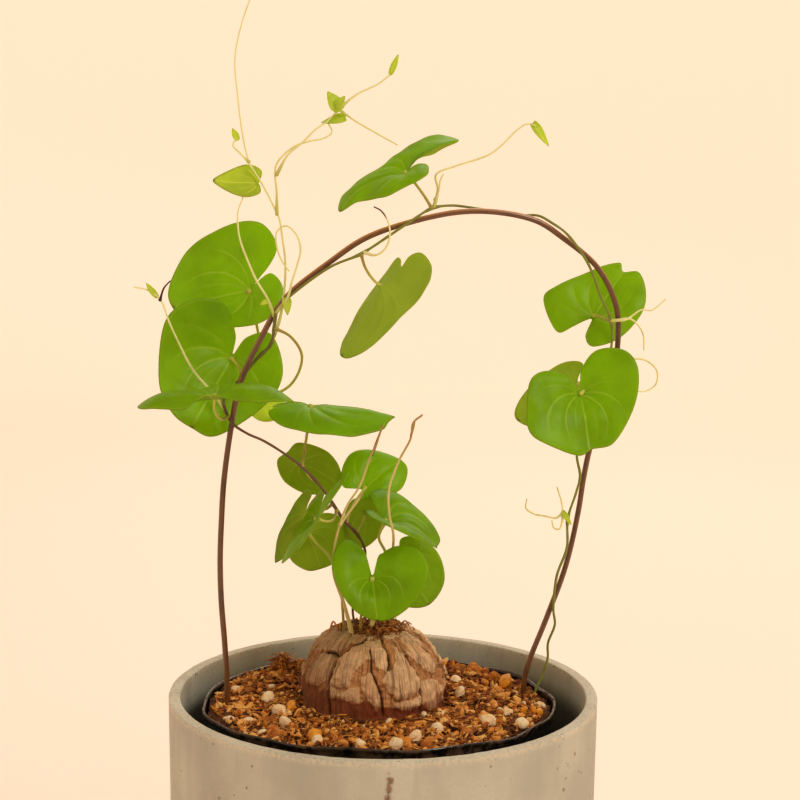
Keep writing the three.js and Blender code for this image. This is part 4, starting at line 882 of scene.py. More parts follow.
def tube(curve, radius, sides, look=0, **given):
    """A round stem along a curve: at each point a circle lies across the curve, turned from one fixed
    direction, and the ends close in two smaller circles. along runs from 0 to 1, and upward from -1
    underneath to 1 on top."""
    tangent = np.gradient(curve, axis=0)
    tangent /= np.linalg.norm(tangent, axis=1, keepdims=True) + 1e-9
    spread = np.linalg.eigh(np.cov((curve - curve.mean(0)).T) + np.diag([3e-4, 1e-4, 2e-4]))[1]
    normal = spread[:, 0] - tangent * (tangent @ spread[:, 0])[:, None]
    normal /= np.linalg.norm(normal, axis=1, keepdims=True) + 1e-9
    across = np.cross(tangent, normal)
    radius = np.broadcast_to(radius, len(curve)).astype(float)
    first, last = curve[:1] - tangent[:1] * radius[0] * 0.5, curve[-1:] + tangent[-1:] * radius[-1] * 0.5
    curve = np.concatenate([first, curve, last])
    radius = np.concatenate([[radius[0] * 0.6], radius, [radius[-1] * 0.6]])
    normal = np.concatenate([normal[:1], normal, normal[-1:]])
    across = np.concatenate([across[:1], across, across[-1:]])
    turn = 2 * np.pi * np.arange(sides) / sides
    rings = curve[:, None] + radius[:, None, None] * (
        normal[:, None] * np.cos(turn)[None, :, None] + across[:, None] * np.sin(turn)[None, :, None])
    step = np.linalg.norm(np.diff(curve, axis=0), axis=1)
    along = np.concatenate([[0], np.cumsum(step)]) / step.sum()
    given = {key: np.full(rings.shape[:2], value) for key, value in given.items()}
    upward = ((rings - curve[:, None]) / radius[:, None, None])[..., 2]
    return skin(rings, look, along=np.repeat(along[:, None], sides, 1), upward=upward, **given)


def turned(profile, sides):
    """A round solid: the profile's (radius, height) pairs carried around the upright axis."""
    turn = 2 * np.pi * np.arange(sides) / sides
    radius, height = np.asarray(profile, float).T[:, :, None]
    return np.stack(np.broadcast_arrays(radius * np.cos(turn), radius * np.sin(turn), height), -1)


def on_hoop(route):
    across, side, up = np.asarray(route, float).T
    return np.stack([across, HOOP_Y + HOOP_TURN * across + side, up], -1)


VINE_CURVE = through(on_hoop(VINE), 10)
HOOP_CURVE = through(on_hoop([(x, 0, z) for x, z in HOOP]), 8)


def rooted(route):
    """The route, with its start moved to the nearest point of the vine."""
    route = np.asarray(route, float)
    near = np.linalg.norm(VINE_CURVE - route[0], axis=1).argmin()
    return np.concatenate([VINE_CURVE[near:near + 1], route[1:]])


def blade_frame(joint, tip, face):
    """The joint and the unit directions right, along and up of a blade."""
    along = np.array(tip) / np.linalg.norm(tip)
    up = np.array(face) - along * np.dot(face, along)
    up /= np.linalg.norm(up)
    return np.array(joint, float), np.cross(along, up), along, up


def blade(pose, edge, bend, thickness, swell=(0, 0), steps=14, layers=18, look=0, seed=0, **given):
    """A leaf blade. Around the joint, a point is (x, y) = share * outline, right and tipward, and it
    stands up by fold*(sqrt(x*x + 9) - 3) + (cup + wave*sin(3*angle + 1))*(r/20)^2 - droop*(y/20)^2
    where y is over 0. To that come swell*(1 - exp(-(r/5)^2)) around the joint, less the turn of the
    margin, low noise and sunken veins. The lower side lies thickness*sqrt(1 - share^6) below, so that
    both meet at the margin."""
    joint, right, along, up = blade_frame(*pose)
    fold, cup, droop, wave = bend
    outline = closed_through(edge, steps)
    length = np.asarray(edge, float)[:, 1].max()
    share = (np.arange(layers) + 0.35) / (layers - 0.65)
    share = 1 - (1 - share) ** 1.15
    share = np.concatenate([share, share[-2::-1]])
    side = np.concatenate([np.ones(layers), -np.ones(layers - 1)])
    flat = share[:, None, None] * outline
    x, y = flat[..., 0], flat[..., 1]
    reach = np.hypot(x, y) / 20
    height = (fold * (np.hypot(x, 3) - 3) + (cup + wave * np.sin(3 * np.arctan2(x, y) + 1)) * reach ** 2
              - droop * (np.maximum(0, y) / 20) ** 2)
    place = np.stack([x, y, np.full_like(x, seed * 31.0)], -1)
    rim = np.hypot(outline[:, 0], outline[:, 1])
    height += swell[0] * (1 - np.exp(-(20 * reach / 5) ** 2))
    height -= swell[1] * (share[:, None] ** 3.5) * rise(rim, 3, 14)
    height += 0.9 * lumps(place, 9, seed) * rise(reach, 0.05, 0.4) + 0.22 * lumps(place, 4, seed + 1)
    angle = np.arctan2(np.abs(x), (x * x + y * y) / length - y)
    worth = np.hypot(x, y) * np.hypot(x, length - y) / length
    fade = rise(share, 1.0, 0.6)[:, None] * min(1, length / 16)
    for turn, strength in [(np.pi, 1.3)] + VEINS:
        height -= 0.42 * fade * strength * np.exp(-(np.abs(angle - turn) * worth / 1.3) ** 2)
    thick = thickness * np.sqrt(np.maximum(0, 1 - share ** 6)) * 0.5 * side
    rings = (joint + right * x[..., None] + along * y[..., None]
             + up * (height + thick[:, None])[..., None])
    spot = np.stack([x / length, y / length, np.repeat(share[:, None], x.shape[1], 1)], -1)
    upper = np.where(side > 0, 1.0, 0.0)
    upper[layers - 1] = 0.5
    given = {key: np.full(x.shape, value) for key, value in given.items()}
    return skin(rings, look, blade=spot, side=np.repeat(upper[:, None], x.shape[1], 1), **given)


def petiole(route, radius, look):
    """A leaf stalk, swollen at both ends."""
    curve = through(route, 8)
    share = np.linspace(0, 1, len(curve))
    swell = 1 + 0.55 * np.exp(-(share / 0.08) ** 2) + 0.75 * np.exp(-((1 - share) / 0.09) ** 2)
    return tube(curve, radius * swell, 8, look)


def rocks(spots, sizes, flat, tint, seed, look=0, grid=(5, 8), long=1.0, loose=1.0):
    """Grains: one knobbly ball of few faces, drawn out, flattened and turned at each spot. The less
    loose they are, the flatter they lie."""
    random = np.random.default_rng(seed)
    rows, columns = grid
    rise_angle = np.pi * ((np.arange(rows) + 0.6) / (rows + 0.2) - 0.5)
    turn = 2 * np.pi * np.arange(columns) / columns
    ball = np.stack(np.broadcast_arrays(
        np.cos(rise_angle)[:, None] * np.cos(turn), np.cos(rise_angle)[:, None] * np.sin(turn),
        np.sin(rise_angle)[:, None]), -1)
    unit = skin(ball)
    number = len(spots)
    shapes = unit.points * (1 + 0.38 * lumps(
        unit.points[None] + 9 * np.arange(number)[:, None, None], 0.8, seed)[..., None])
    stretch = np.stack([long * np.ones(number), random.uniform(0.65, 1, number), flat], -1)
    shapes = shapes * stretch[:, None]
    q = random.normal(size=(number, 4)) * [1, loose, loose, 1]
    w, x, y, z = (q / np.linalg.norm(q, axis=1, keepdims=True)).T
    turns = np.array([
        [1 - 2 * (y * y + z * z), 2 * (x * y - w * z), 2 * (x * z + w * y)],
        [2 * (x * y + w * z), 1 - 2 * (x * x + z * z), 2 * (y * z - w * x)],
        [2 * (x * z - w * y), 2 * (y * z + w * x), 1 - 2 * (x * x + y * y)]]).transpose(2, 0, 1)
    points = np.einsum("nij,nmj->nmi", turns, shapes) * np.asarray(sizes)[:, None, None]
    points = points + np.asarray(spots)[:, None]
    shift = (np.arange(number) * len(unit.points))[:, None, None]
    blocks = [(block[None] + shift).reshape(-1, block.shape[1]) for block in unit.blocks]
    tints = np.repeat(np.asarray(tint), len(unit.points))
    return Surface(points.reshape(-1, 3), blocks, look, tint=tints)


# The grower's pot stands a little left of the middle: its foot and its rim, in millimetres
LINER_X, LINER_FOOT_Z, LINER_RIM_Z = -1.5, 8.3, 125.8


def rim_wave(points, wave):
    """The soft rim: it stands higher at the front, and waves in and out and up and down."""
    x, y, z = np.moveaxis(points, -1, 0)
    share = rise(z, LINER_RIM_Z - 24, LINER_RIM_Z - 2)
    turn = np.arctan2(y, x)
    out = (wave * 0.7 * np.sin(4 * turn + 1) + wave * 0.5 * np.sin(9 * turn + 2)
           + wave * 0.25 * np.sin(15 * turn))
    up = wave * (0.4 * np.sin(3 * turn) + 0.35 * np.sin(11 * turn + 1))
    up = up + 0.3 - 1.2 * np.sin(turn) + 1.9 * np.maximum(0, -np.sin(turn)) ** 2
    radius = np.hypot(x, y) + 1e-9
    reach = np.minimum(1, radius / 60)
    grow = 1 + share * reach * out / radius
    return np.stack([x * grow + LINER_X, y * grow, z + share * reach * up], -1)


def soil_height(x, y, level):
    """The soil's top: low waves, lumps, and banks against the back left of the liner."""
    place = np.stack([x, y, np.zeros_like(x)], -1)
    waves = 0.7 * (np.sin(0.31 * x + 1) * np.cos(0.27 * y) + 0.6 * np.sin(0.7 * x - 0.5 * y))
    bank = 1.6 * np.exp(-((x + 42) ** 2 + (y - 24) ** 2) / 260)
    edge = -1.0 * np.sin(np.arctan2(y, x)) * rise(np.hypot(x, y), 30, 60)
    return level + 0.5 * waves + bank + edge + 1.3 * lumps(place, 4.5, 3) + 0.7 * lumps(place, 1.9, 4)


class PLANT_OT_pots(Operator):
    """Make the concrete pot and the grower's pot that stands in it"""
    bl_idname = "plant.pots"
    bl_label = "Pots"

    def execute(self, context):
        settings = context.scene.plant_pot
        radius, height, wall = settings.radius / MM, settings.height / MM, settings.wall / MM
        foot, worn, sides = radius - 1.3, 0.55, 288
        steps = np.linspace(0, 1, 24)[1:-1]
        arc = np.linspace(0, np.pi / 2, 6)
        outside = [(foot + (radius - foot) * s, worn + (height - 2 * worn) * s) for s in steps]
        outer_rim = [(radius - worn * (1 - np.cos(a)), height - worn * (1 - np.sin(a))) for a in arc]
        inner_rim = [(radius - wall + worn * (1 - np.sin(a)), height - worn * (1 - np.cos(a)))
                     for a in arc]
        inside = [(radius - wall - 1.3 * s, height - worn + (8 - height + worn) * s) for s in steps]
        profile = ([(0.1, 0), (foot * 0.5, 0), (foot - worn, 0), (foot, worn)] + outside + outer_rim
                   + inner_rim + inside + [(foot - wall - 1, 8.6), (foot - wall - 2, 8), (0.1, 8)])
        rings = turned(profile, sides)
        outward = np.stack([rings[..., 0], rings[..., 1], np.zeros(rings.shape[:2])], -1)
        outward /= np.linalg.norm(outward, axis=-1, keepdims=True)
        uneven = 0.12 * lumps(rings, 7, 1) + 0.05 * lumps(rings, 2.2, 2)
        top = rise(rings[..., 2], height - 3, height)
        rings = rings - outward * (0.12 + 0.12 * np.abs(uneven) / 0.17)[..., None] * rise(
            rings[..., 2], 1, 4)[..., None]
        rings[..., 2] -= top * (0.16 + uneven)
        make_piece("concrete_pot", [skin(rings)], [concrete_look(settings)],
                   ["cement_pot"])

        rim, liner_foot, thin = (settings.liner_radius / MM, settings.liner_foot / MM,
                                 settings.liner_wall / MM)
        rows = np.linspace(0, 1, 60)
        wall_out = [(liner_foot + (rim - liner_foot) * s,
                     LINER_FOOT_Z + (LINER_RIM_Z - 1.4 - LINER_FOOT_Z) * s) for s in rows]
        wall_in = [(r - thin, max(z, LINER_FOOT_Z + thin)) for r, z in wall_out[::-1]]
        lip = [(rim + 0.25, LINER_RIM_Z - 1.2), (rim + 0.5, LINER_RIM_Z - 0.6),
               (rim + 0.4, LINER_RIM_Z - 0.1), (rim + 0.1, LINER_RIM_Z + 0.05),
               (rim - thin + 0.1, LINER_RIM_Z - 0.2)]
        profile = ([(0.1, LINER_FOOT_Z)] + wall_out + lip + wall_in
                   + [(0.1, LINER_FOOT_Z + thin)])
        rings = rim_wave(turned(profile, 360), settings.liner_wave / MM)
        make_piece("grower_pot", [skin(rings)], [plastic_look(settings)],
                   ["nursery_pot"])
        return {"FINISHED"}


class PLANT_OT_soil(Operator):
    """Make the soil, with its grains, prills and fibres"""
    bl_idname = "plant.soil"
    bl_label = "Soil"

    def execute(self, context):
        settings = context.scene.plant_soil
        level = settings.level / MM
        random = np.random.default_rng(SEED)
        wave = context.scene.plant_pot.liner_wave / MM
        top = rim_wave(turned([(SOIL_REACH * s, level) for s in np.linspace(1, 0.004, 110)], 280), wave)
        top[..., 2] = soil_height(top[..., 0], top[..., 1], level)
        side = turned([(0.1, 9.6), (45, 9.6), (57.2, 110), (59.2, level - 3)], 280)
        surfaces = [skin(np.concatenate([rim_wave(side, wave), top]))]

        def scattered(number, reach, clear=1.0):
            """Spots on the soil: evenly random within reach, and clear of the caudex."""
            radius, turn = reach * np.sqrt(random.random(4 * number)), random.random(4 * number)
            spots = np.stack([LINER_X + radius * np.cos(2 * np.pi * turn),
                              radius * np.sin(2 * np.pi * turn)], -1)
            free = np.linalg.norm(spots - CAUDEX[:2], axis=1) > CAUDEX_RADIUS + clear
            return spots[free][:number]

        def laid(spots, lift):
            x, y = np.asarray(spots, float).T
            return np.stack([x, y, soil_height(x, y, level) + lift], -1)

        spots = scattered(settings.grains, 56.5, 1.8)
        sizes = random.uniform(0.9, 2.3, len(spots)) * random.uniform(0.7, 1, len(spots))
        tints = np.where(random.random(len(spots)) < 0.13, 0.95, random.uniform(0.2, 0.74, len(spots)))
        surfaces.append(rocks(laid(spots, 0.3 * sizes), sizes, random.uniform(0.4, 0.9, len(spots)),
                              tints, 2, 1))
        white = np.array(WHITE_GRAINS)
        surfaces.append(rocks(laid(white[:, :2], 0.4 * white[:, 2] + 0.3), white[:, 2],
                              np.full(len(white), 0.8), np.full(len(white), 0.9), 3, 1, (9, 16)))
        bark = np.array(BARK_CHUNKS)
        surfaces.append(rocks(laid(bark[:, :2], bark[:, 3] * 2), bark[:, 2],
                              np.full(len(bark), 0.55), np.full(len(bark), 0.36), 4, 1, (9, 16)))
        prills = np.array(ORANGE_GRAINS)
        surfaces.append(rocks(laid(prills[:, :2], 0.6 * prills[:, 2] + 0.9), prills[:, 2],
                              prills[:, 3] * 0.8, np.full(len(prills), 0.5), 5, 2, (9, 16)))
        looks = [soil_look(settings), grain_look(settings), prill_look(settings)]
        make_piece("bark_soil", surfaces, looks, ["soil"])

        def heaped(number, loose):
            """Spots on the soil, and how high above it each lies: evenly spread and in the tufts."""
            spots = scattered(number, LOOSE_REACH)
            lift = random.uniform(0, loose, len(spots))
            for x, y, half, high in TUFTS:
                off = random.normal(0, 0.4, (int(10 * half * high ** 0.7), 2))
                more = np.array([x, y]) + half * off
                free = np.linalg.norm(more - CAUDEX[:2], axis=1) > CAUDEX_RADIUS
                free &= np.hypot(more[:, 0] - LINER_X, more[:, 1]) < LOOSE_REACH + 0.4
                rises = high * random.random(len(off)) * np.exp(-1.3 * (off ** 2).sum(1))
                spots, lift = np.concatenate([spots, more[free]]), np.concatenate([lift, rises[free]])
            return spots, lift

        spots, lift = heaped(settings.crumbs, 0.7)
        sizes = random.uniform(0.45, 1.2, len(spots)) * random.uniform(0.6, 1.15, len(spots))
        crumbs = rocks(laid(spots, 0.4 * sizes + lift), sizes, random.uniform(0.25, 0.9, len(spots)),
                       random.uniform(0.05, 0.82, len(spots)), 1, 0, (3, 6))
        spots, lift = heaped(settings.chips, 1.2)
        sizes = random.uniform(0.6, 1.35, len(spots)) * random.uniform(0.6, 1.1, len(spots))
        chips = rocks(laid(spots, 0.4 * sizes + lift), sizes, random.uniform(0.15, 0.5, len(spots)),
                      random.uniform(0, 0.78, len(spots)) ** 1.2, 6, 0, (3, 6),
                      random.uniform(1.2, 2.6, len(spots)), 0.35)
        make_piece("soil_crumbs", [crumbs, chips], [grain_look(settings)], smooth=False)

        surfaces = []
        spots, lift = heaped(settings.fibres, 0.9)
        start = laid(spots, 0.5 + lift)
        heading = random.uniform(0, 2 * np.pi, len(spots))
        length = random.uniform(2.5, 8, len(spots))
        for at, way, long, tint in zip(start, heading, length, random.random(len(spots))):
            steps = np.linspace(-0.5, 0.5, 7)
            bow = random.uniform(-1, 1) * (steps ** 2) * 3 + random.uniform(-1, 1) * steps ** 3 * 3
            x = at[0] + long * (steps * np.cos(way) - bow * np.sin(way))
            y = at[1] + long * (steps * np.sin(way) + bow * np.cos(way))
            inside = np.minimum(1, LOOSE_REACH / (np.hypot(x - LINER_X, y) + 1e-9))
            x, y = LINER_X + (x - LINER_X) * inside, y * inside
            ground = soil_height(x, y, level)
            z = np.maximum(ground + 0.5, at[2] + random.uniform(-0.5, 2) * steps - 1.5 * steps ** 2)
            surfaces.append(tube(np.stack([x, y, z], -1), random.uniform(0.1, 0.24), 3, tint=tint))
        make_piece("coir", surfaces, [fibre_look(settings)])
        return {"FINISHED"}


def inside_share(x, z, outline):
    """How far points lie inside a closed outline (outside is negative), in the outline's units: the
    distance to its nearest edge, signed by whether a ray crosses the outline an odd number of times."""
    corners = np.asarray(outline, float)
    ends = np.roll(corners, -1, 0)
    odd = np.zeros(x.shape, bool)
    nearest = np.full(x.shape, 1e9)
    for (ax, az), (bx, bz) in zip(corners, ends):
        crossed = ((az > z) != (bz > z)) & (x < (bx - ax) * (z - az) / (bz - az + 1e-12) + ax)
        odd ^= crossed
        nearest = np.minimum(nearest, to_segment(x, z, (ax, az), (bx, bz)))
    return np.where(odd, nearest, -nearest)


def to_segment(x, z, start, end):
    """Distance from points to a straight piece of line."""
    dx, dz = end[0] - start[0], end[1] - start[1]
    t = np.clip(((x - start[0]) * dx + (z - start[1]) * dz) / (dx * dx + dz * dz), 0, 1)
    return np.hypot(x - start[0] - t * dx, z - start[1] - t * dz)


class PLANT_OT_caudex(Operator):
    """Make the swollen corky base, with its plates, cracks and root crown"""
    bl_idname = "plant.caudex"
    bl_label = "Caudex"

    def execute(self, context):
        settings = context.scene.plant_plant
        rows, columns = 212, 404
        angle = np.pi * (np.linspace(0.02, 0.998, rows) - 0.5)
        power = 2 / CAUDEX_SQUARENESS
        out = np.abs(np.cos(angle)) ** power
        up = np.sign(np.sin(angle)) * np.abs(np.sin(angle)) ** power
        tall = np.where(up > 0, CAUDEX_RISE, CAUDEX_DEPTH)
        rings = turned(np.stack([CAUDEX_RADIUS * out, up * tall], -1), columns)
        x, y, z = np.moveaxis(rings, -1, 0)
        turn = np.degrees(np.arctan2(x, -y))
        millimetres = np.radians(1) * CAUDEX_RADIUS
        splinter = lumps(rings * [1, 1, 0.2], 1.0, 19)
        ragged = lumps(rings, 2.4, 5) * 0.8 + lumps(rings, 0.9, 6) * 0.35 + 0.7 * splinter
        side = (turn + 1.6 * lumps(rings, 5, 7)) * millimetres
        high = z + 0.8 * lumps(rings, 4, 8)

        front = rise(-np.abs(turn), -86, -74)
        plate = np.full(x.shape, -9.0)
        step = np.zeros(x.shape)
        for stand, outline in PLATES:
            inside = inside_share(side, high, [(a * millimetres, b) for a, b in outline])
            inside = inside + 0.45 + ragged * 0.6
            plate = np.maximum(plate, inside)
            terraces = (0.45 * rise(inside, -0.1, 0.2) + 0.3 * rise(inside + ragged * 0.5, 0.8, 1.05)
                        + 0.25 * rise(inside + 0.9 * lumps(rings, 3, 14), 1.9, 2.15))
            step = np.maximum(step, stand * terraces)
        groove = np.full(x.shape, 99.0)
        for route in CRACKS:
            for start, end in zip(route[:-1], route[1:]):
                groove = np.minimum(groove, to_segment(
                    side, high, (start[0] * millimetres, start[1]), (end[0] * millimetres, end[1])))

        random = np.random.default_rng(SEED + 4)
        around = random.uniform(60, 300, BACK_PLATES)
        level = 4 + 19 * ((np.arange(BACK_PLATES) * 0.618) % 1)
        seeds = np.stack([CAUDEX_RADIUS * np.sin(np.radians(around)),
                          -CAUDEX_RADIUS * np.cos(np.radians(around)), level], -1)
        bent = rings + np.stack([lumps(rings, 5, 9), lumps(rings, 5, 10), lumps(rings, 5, 11)], -1) * 1.6
        far = np.linalg.norm(bent[..., None, :] - seeds, axis=-1)
        order = np.sort(far, axis=-1)
        own = far.argmin(-1)
        between = (order[..., 1] - order[..., 0]) * 0.5 + ragged * 0.25
        stand = 0.7 + random.random(BACK_PLATES)[own]
        back_step = stand * rise(between, 0.25, 0.7) * rise(z, 1.5, 4)
        step = front * step + (1 - front) * back_step
        plate = front * plate + (1 - front) * np.where(z > 3, between - 0.3, -1)
        groove = front * np.minimum(groove, 6) + (1 - front) * np.maximum(0, between) * 1.2

        crack = np.exp(-(np.maximum(0, groove + ragged * 0.12) / 0.42) ** 2)
        shown = rise(z, -3, 0)
        ribs = lumps(rings * [1, 1, 0.1], 1.3, 13)
        drips = lumps(rings * [1, 1, 0.05], 2.4, 15)
        foot = rise(1.6 * lumps(rings, 6, 12) + 1.8 * drips + 0.6 * ribs - z - 0.03 * turn, -7, -3.5)
        layers = 0.25 * np.sin(2.6 * (z + 1.6 * lumps(rings, 3, 16) + ragged)) * (1 - foot)
        crown = rise(up[:, None] + 0 * z, 0.93, 1.0)
        flakes = np.abs(lumps(rings * [1, 1, 0.5], 1.6, 17)) + 0.6 * np.abs(lumps(rings, 0.9, 18))
        relief = (1.15 * step - 1.5 * crack + 0.2 * ragged + 0.4 * ribs * (0.6 + foot) - 0.5 * flakes
                  + layers * (1 - rise(plate, 0, 1)) - 0.7 - 1.2 * crown)
        away = rings / [CAUDEX_RADIUS, CAUDEX_RADIUS, CAUDEX_RISE]
        away /= np.linalg.norm(away, axis=-1, keepdims=True)
        points = rings + away * (relief * shown)[..., None] + CAUDEX
        body = skin(points, 0, plate=rise(plate, -0.6, 1.4), crack=crack * shown, foot=foot)

        surfaces = [body]
        crown_at = CAUDEX + [1, -3, CAUDEX_RISE - 1]
        for _ in range(CROWN_THREADS):
            way = random.uniform(0, 2 * np.pi)
            start = crown_at + [random.normal() * 4.4, random.normal() * 3.6, random.uniform(-1.4, 0.8)]
            reach = random.uniform(1.2, 5)
            hop = random.uniform(0.2, 2.2)
            bent = way + random.uniform(-1.4, 1.4)
            middle = start + [reach * 0.5 * np.cos(way), reach * 0.5 * np.sin(way), hop]
            end = start + [reach * np.cos(bent), reach * np.sin(bent), hop * random.uniform(-0.8, 0.5)]
            low = CAUDEX[2] + CAUDEX_RISE * (1 - (np.linalg.norm(end[:2] - CAUDEX[:2])
                                                  / CAUDEX_RADIUS) ** 2.5) ** 0.4
            end[2] = max(min(end[2], low + 2), low - 0.6)
            surfaces.append(tube(through([start, middle, end], 4), random.uniform(0.12, 0.38), 4, 1,
                                 tint=0.7 * random.random() ** 2))
        looks = [cork_look(settings), fibre_look(context.scene.plant_soil)]
        make_piece("caudex_body", surfaces, looks, ["caudex"])
        return {"FINISHED"}


class PLANT_OT_wire(Operator):
    """Make the wire hoop and the main vine that twines on it"""
    bl_idname = "plant.wire"
    bl_label = "Wire and vine"

    def execute(self, context):
        settings = context.scene.plant_plant
        radius = settings.wire_radius / MM
        wander = 1 + 0.03 * lumps(HOOP_CURVE, 14, 1)
        make_piece("hoop", [tube(HOOP_CURVE, radius * wander, 16)], [wire_look(settings)],
                   ["wire_hoop"])
        thin = settings.vine_radius / MM
        curve = through(on_hoop(VINE), 14)
        near = np.full(len(curve), 99.0)
        roots = [leaf[5][0] for leaf in LEAVES.values()] + [
            shoot["strands"][0][0] for shoot in SHOOTS.values()]
        for root in roots:
            near = np.minimum(near, np.linalg.norm(curve - root, axis=1))
        swell = 1 + 0.45 * np.exp(-(np.maximum(0, near - 1) / 1.3) ** 2) + 0.12 * lumps(curve, 3, 2)
        look = stem_look("vine_bark", settings.vine, settings.old_vine, (0.2, 0.42))
        make_piece("vine", [tube(curve, thin * swell, 10)], [look], ["main_vine"])
        return {"FINISHED"}


class PLANT_OT_leaves(Operator):
    """Make the leaves, each with its stalk"""
    bl_idname = "plant.leaves"
    bl_label = "Leaves"

    def execute(self, context):
        settings = context.scene.plant_plant
        green = leaf_look("leaf_green", settings.leaf, settings.leaf_light, settings.underside,
                          settings.olive)
        young = leaf_look("leaf_young", settings.young, toned(settings.young, 1.2),
                          settings.young, settings.olive)
        stalk = stem_look("stalk", linear(196, 202, 84), linear(166, 152, 70), (0.1, 0.9))
        radius, thickness = settings.petiole_radius / MM, settings.blade / MM
        for seed, (name, leaf) in enumerate(LEAVES.items()):
            joint, tip, face, edge, bend, route, dull = leaf
            start = rooted(route) if route[0][2] > CROWN_HEIGHT else np.asarray(route, float)
            surfaces = [
                blade((joint, tip, face), edge, bend, thickness, SWELLS.get(name, COMMON_SWELL),
                      seed=seed, dull=dull),
                petiole(np.concatenate([start, [joint]]), radius, 1),
            ]
            fresh = name == "leaf_yellow"
            make_piece(name + "_blade", surfaces, [young if fresh else green, stalk],
                       [name])
        return {"FINISHED"}


class PLANT_OT_shoots(Operator):
    """Make the side shoots, tendrils and dry stems"""
    bl_idname = "plant.shoots"
    bl_label = "Shoots"

    def execute(self, context):
        settings = context.scene.plant_plant
        pale = stem_look("pale_shoot_skin", settings.shoot, linear(196, 200, 104), (0.0, 0.3), 0.05)
        tendril = stem_look("tendril_skin", linear(92, 44, 30), settings.shoot, (0.7, 0.85), 0.05)
        dry = stem_look("dry_skin", linear(170, 136, 76), settings.dry, (0.75, 0.95), 0.1)
        young = leaf_look("leaflet", settings.young, toned(settings.young, 1.2),
                          settings.young, settings.olive)
        husk = stem_look("husk", linear(196, 168, 100), linear(170, 130, 72), (0.2, 0.9), 0.3)
        withered = stem_look("withered_skin", linear(84, 40, 24), linear(60, 30, 20), (0.2, 0.9), 0.1)
        radius = settings.shoot_radius / MM
        stem, leaflet, withered_look = range(3)
        for seed, (name, shoot) in enumerate(SHOOTS.items()):
            is_dry = name.startswith("dry")
            surfaces = []
            for i, route in enumerate(shoot["strands"]):
                start = np.asarray(route, float) if is_dry or i else rooted(route)
                curve = through(start, 8)
                share = np.linspace(0, 1, len(curve))
                taper = (1.05 - 0.43 * share) * (1 + 0.1 * lumps(curve, 2.5, seed))
                taper = taper * (1 + 0.6 * np.exp(-(share / 0.1) ** 2))
                surfaces.append(tube(curve, radius * taper * (1.3 if is_dry else 1), 8,
                                     withered_look if i in shoot.get("dark", []) else stem))
            for root, tip, width, up in shoot["leaves"]:
                length = float(np.linalg.norm(np.subtract(tip, root)))
                outline = BUD if width < 3 else LEAFLET
                edge = [(x * width / 2, y * length) for x, y in outline]
                pose = (root, tuple(np.subtract(tip, root)), up)
                bend = (0.25, 0.4, 1.5, 0.3) if width > 3 else (0.5, 0.2, 0.6, 0.1)
                thick = 0.3 if width > 3 else 0.9
                surfaces.append(blade(pose, edge, bend, thick, steps=5, layers=8, look=leaflet,
                                      seed=seed + 40, dull=0.0, along=0.5))
            looks = [dry if is_dry else tendril if name == "arch_tendril" else pale,
                     husk if is_dry else young, withered]
            make_piece(name + "_stem", surfaces, looks, [name])
        return {"FINISHED"}


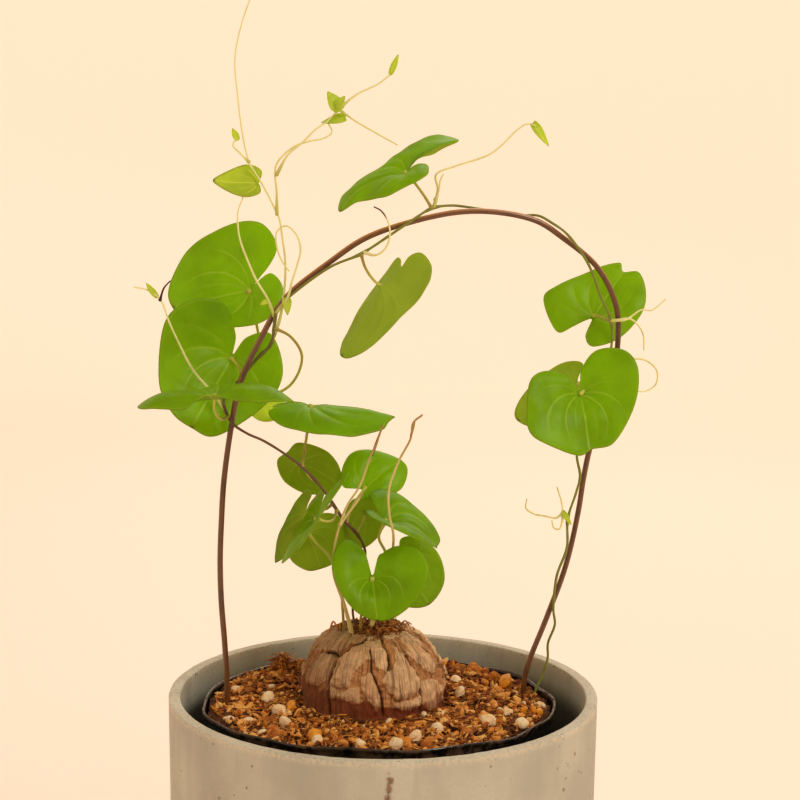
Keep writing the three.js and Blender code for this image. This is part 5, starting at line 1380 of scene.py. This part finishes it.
class PLANT_OT_stage(Operator):
    """Make the pale floor and wall, the lights and the camera"""
    bl_idname = "plant.stage"
    bl_label = "Stage"

    def execute(self, context):
        settings = context.scene.plant_stage
        arc = np.linspace(0, np.pi / 2, 24)
        floor, bend, wall = 1700.0, 700.0, 1500.0
        profile = ([(1, -2.0)] + [(r, -2.0) for r in np.linspace(100, floor, 12)]
                   + [(floor + bend * np.sin(a), -2.0 + bend * (1 - np.cos(a))) for a in arc[1:]]
                   + [(floor + bend, bend + wall)])
        inner = turned(profile, 128)
        outer = turned([(r + 5, z) if z > 0 else (r, z - 5) for r, z in profile[::-1]], 128)
        shell = skin(np.concatenate([inner, outer]))
        look = Look("backdrop", Specular_IOR_Level=0.1, Emission_Strength=settings.glow)
        deep = look.axes(look.place())[1]
        shine = look.mix(deep.rise(-1.4, 0.2), toned(settings.shine, 0.2),
                         toned(settings.shine, 0.72))
        shine = look.mix(deep.rise(1.2, 2.2), shine, settings.shine)
        look.put(look.shader.inputs["Emission Color"], shine)
        even = look.noise(300, 1)
        paint = look.mix(even * 0.03, settings.backdrop, toned(settings.backdrop, 0.9))
        mesh = bpy.data.meshes.new("backdrop")
        mesh.from_pydata((shell.points * MM).tolist(), [],
                         [face for block in shell.blocks for face in block.tolist()])
        mesh.polygons.foreach_set("use_smooth", np.ones(len(mesh.polygons), bool))
        look.material.cycles.emission_sampling = "NONE"
        mesh.materials.append(look.done(paint, 0.9))
        backdrop = bpy.data.objects.new("backdrop", mesh)
        context.scene.collection.objects.link(backdrop)

        def stand(thing, at, right, up, back):
            """Put a lamp or the camera at a place, with those three directions as its own."""
            rows = np.stack([right, up, back], 1).tolist()
            thing.matrix_world = Matrix([[*row, place] for row, place in zip(rows, at)] + [[0, 0, 0, 1]])
            context.scene.collection.objects.link(thing)

        for name, (at, width, tint) in LAMPS.items():
            data = bpy.data.lights.new(name, "AREA")
            data.energy, data.size, data.color = getattr(settings, name), width, tint
            aim = np.array(LAMP_AIM) - at
            back = -aim / np.linalg.norm(aim)
            side = np.cross([0, 0, 1], back)
            side /= np.linalg.norm(side)
            stand(bpy.data.objects.new(name, data), at, side, np.cross(back, side), back)
        world = bpy.data.worlds.new("studio")
        world.use_nodes = True
        sky = world.node_tree.nodes["Background"]
        sky.inputs["Color"].default_value = (*settings.shine, 1)
        sky.inputs["Strength"].default_value = SKY_STRENGTH
        context.scene.world = world
        context.scene.view_settings.view_transform = "Standard"

        camera = bpy.data.objects.new("camera", bpy.data.cameras.new("camera"))
        camera.data.lens, camera.data.sensor_width = settings.lens, 36
        camera.data.clip_start = 0.01
        pitch, roll = np.radians(CAMERA_PITCH), np.radians(CAMERA_ROLL)
        ahead = np.array([0, np.cos(pitch), -np.sin(pitch)])
        level, upright = np.array([1.0, 0, 0]), np.array([0, np.sin(pitch), np.cos(pitch)])
        right = level * np.cos(roll) + upright * np.sin(roll)
        up = upright * np.cos(roll) - level * np.sin(roll)
        stand(camera, CAMERA_AT, right, up, -ahead)
        context.scene.camera = camera
        return {"FINISHED"}


class PLANT_PT_panel(Panel):
    bl_label = "Tortoise Plant"
    bl_idname = "PLANT_PT_panel"
    bl_space_type = "VIEW_3D"
    bl_region_type = "UI"
    bl_category = "Plant"

    def draw(self, context):
        for group, operators in PANEL:
            box = self.layout.box()
            settings = getattr(context.scene, group)
            for name in settings.__class__.__annotations__:
                box.prop(settings, name)
            for operator in operators:
                box.operator(operator.bl_idname)


PANEL = [
    ("plant_stage", [PLANT_OT_stage]),
    ("plant_pot", [PLANT_OT_pots]),
    ("plant_soil", [PLANT_OT_soil]),
    ("plant_plant", [PLANT_OT_caudex, PLANT_OT_wire, PLANT_OT_leaves, PLANT_OT_shoots]),
]
GROUPS = {"plant_pot": PotSettings, "plant_soil": SoilSettings, "plant_plant": PlantSettings,
          "plant_stage": StageSettings}
CLASSES = [*GROUPS.values(), *(operator for _, row in PANEL for operator in row), PLANT_PT_panel]


def register():
    for cls in CLASSES:
        bpy.utils.register_class(cls)
    for name, group in GROUPS.items():
        setattr(bpy.types.Scene, name, PointerProperty(type=group))


def unregister():
    for name in GROUPS:
        delattr(bpy.types.Scene, name)
    for cls in reversed(CLASSES):
        bpy.utils.unregister_class(cls)


def main():
    register()
    bpy.ops.plant.stage()
    bpy.ops.plant.pots()
    bpy.ops.plant.soil()
    bpy.ops.plant.caudex()
    bpy.ops.plant.wire()
    bpy.ops.plant.leaves()
    bpy.ops.plant.shoots()


if __name__ == "__main__":
    main()
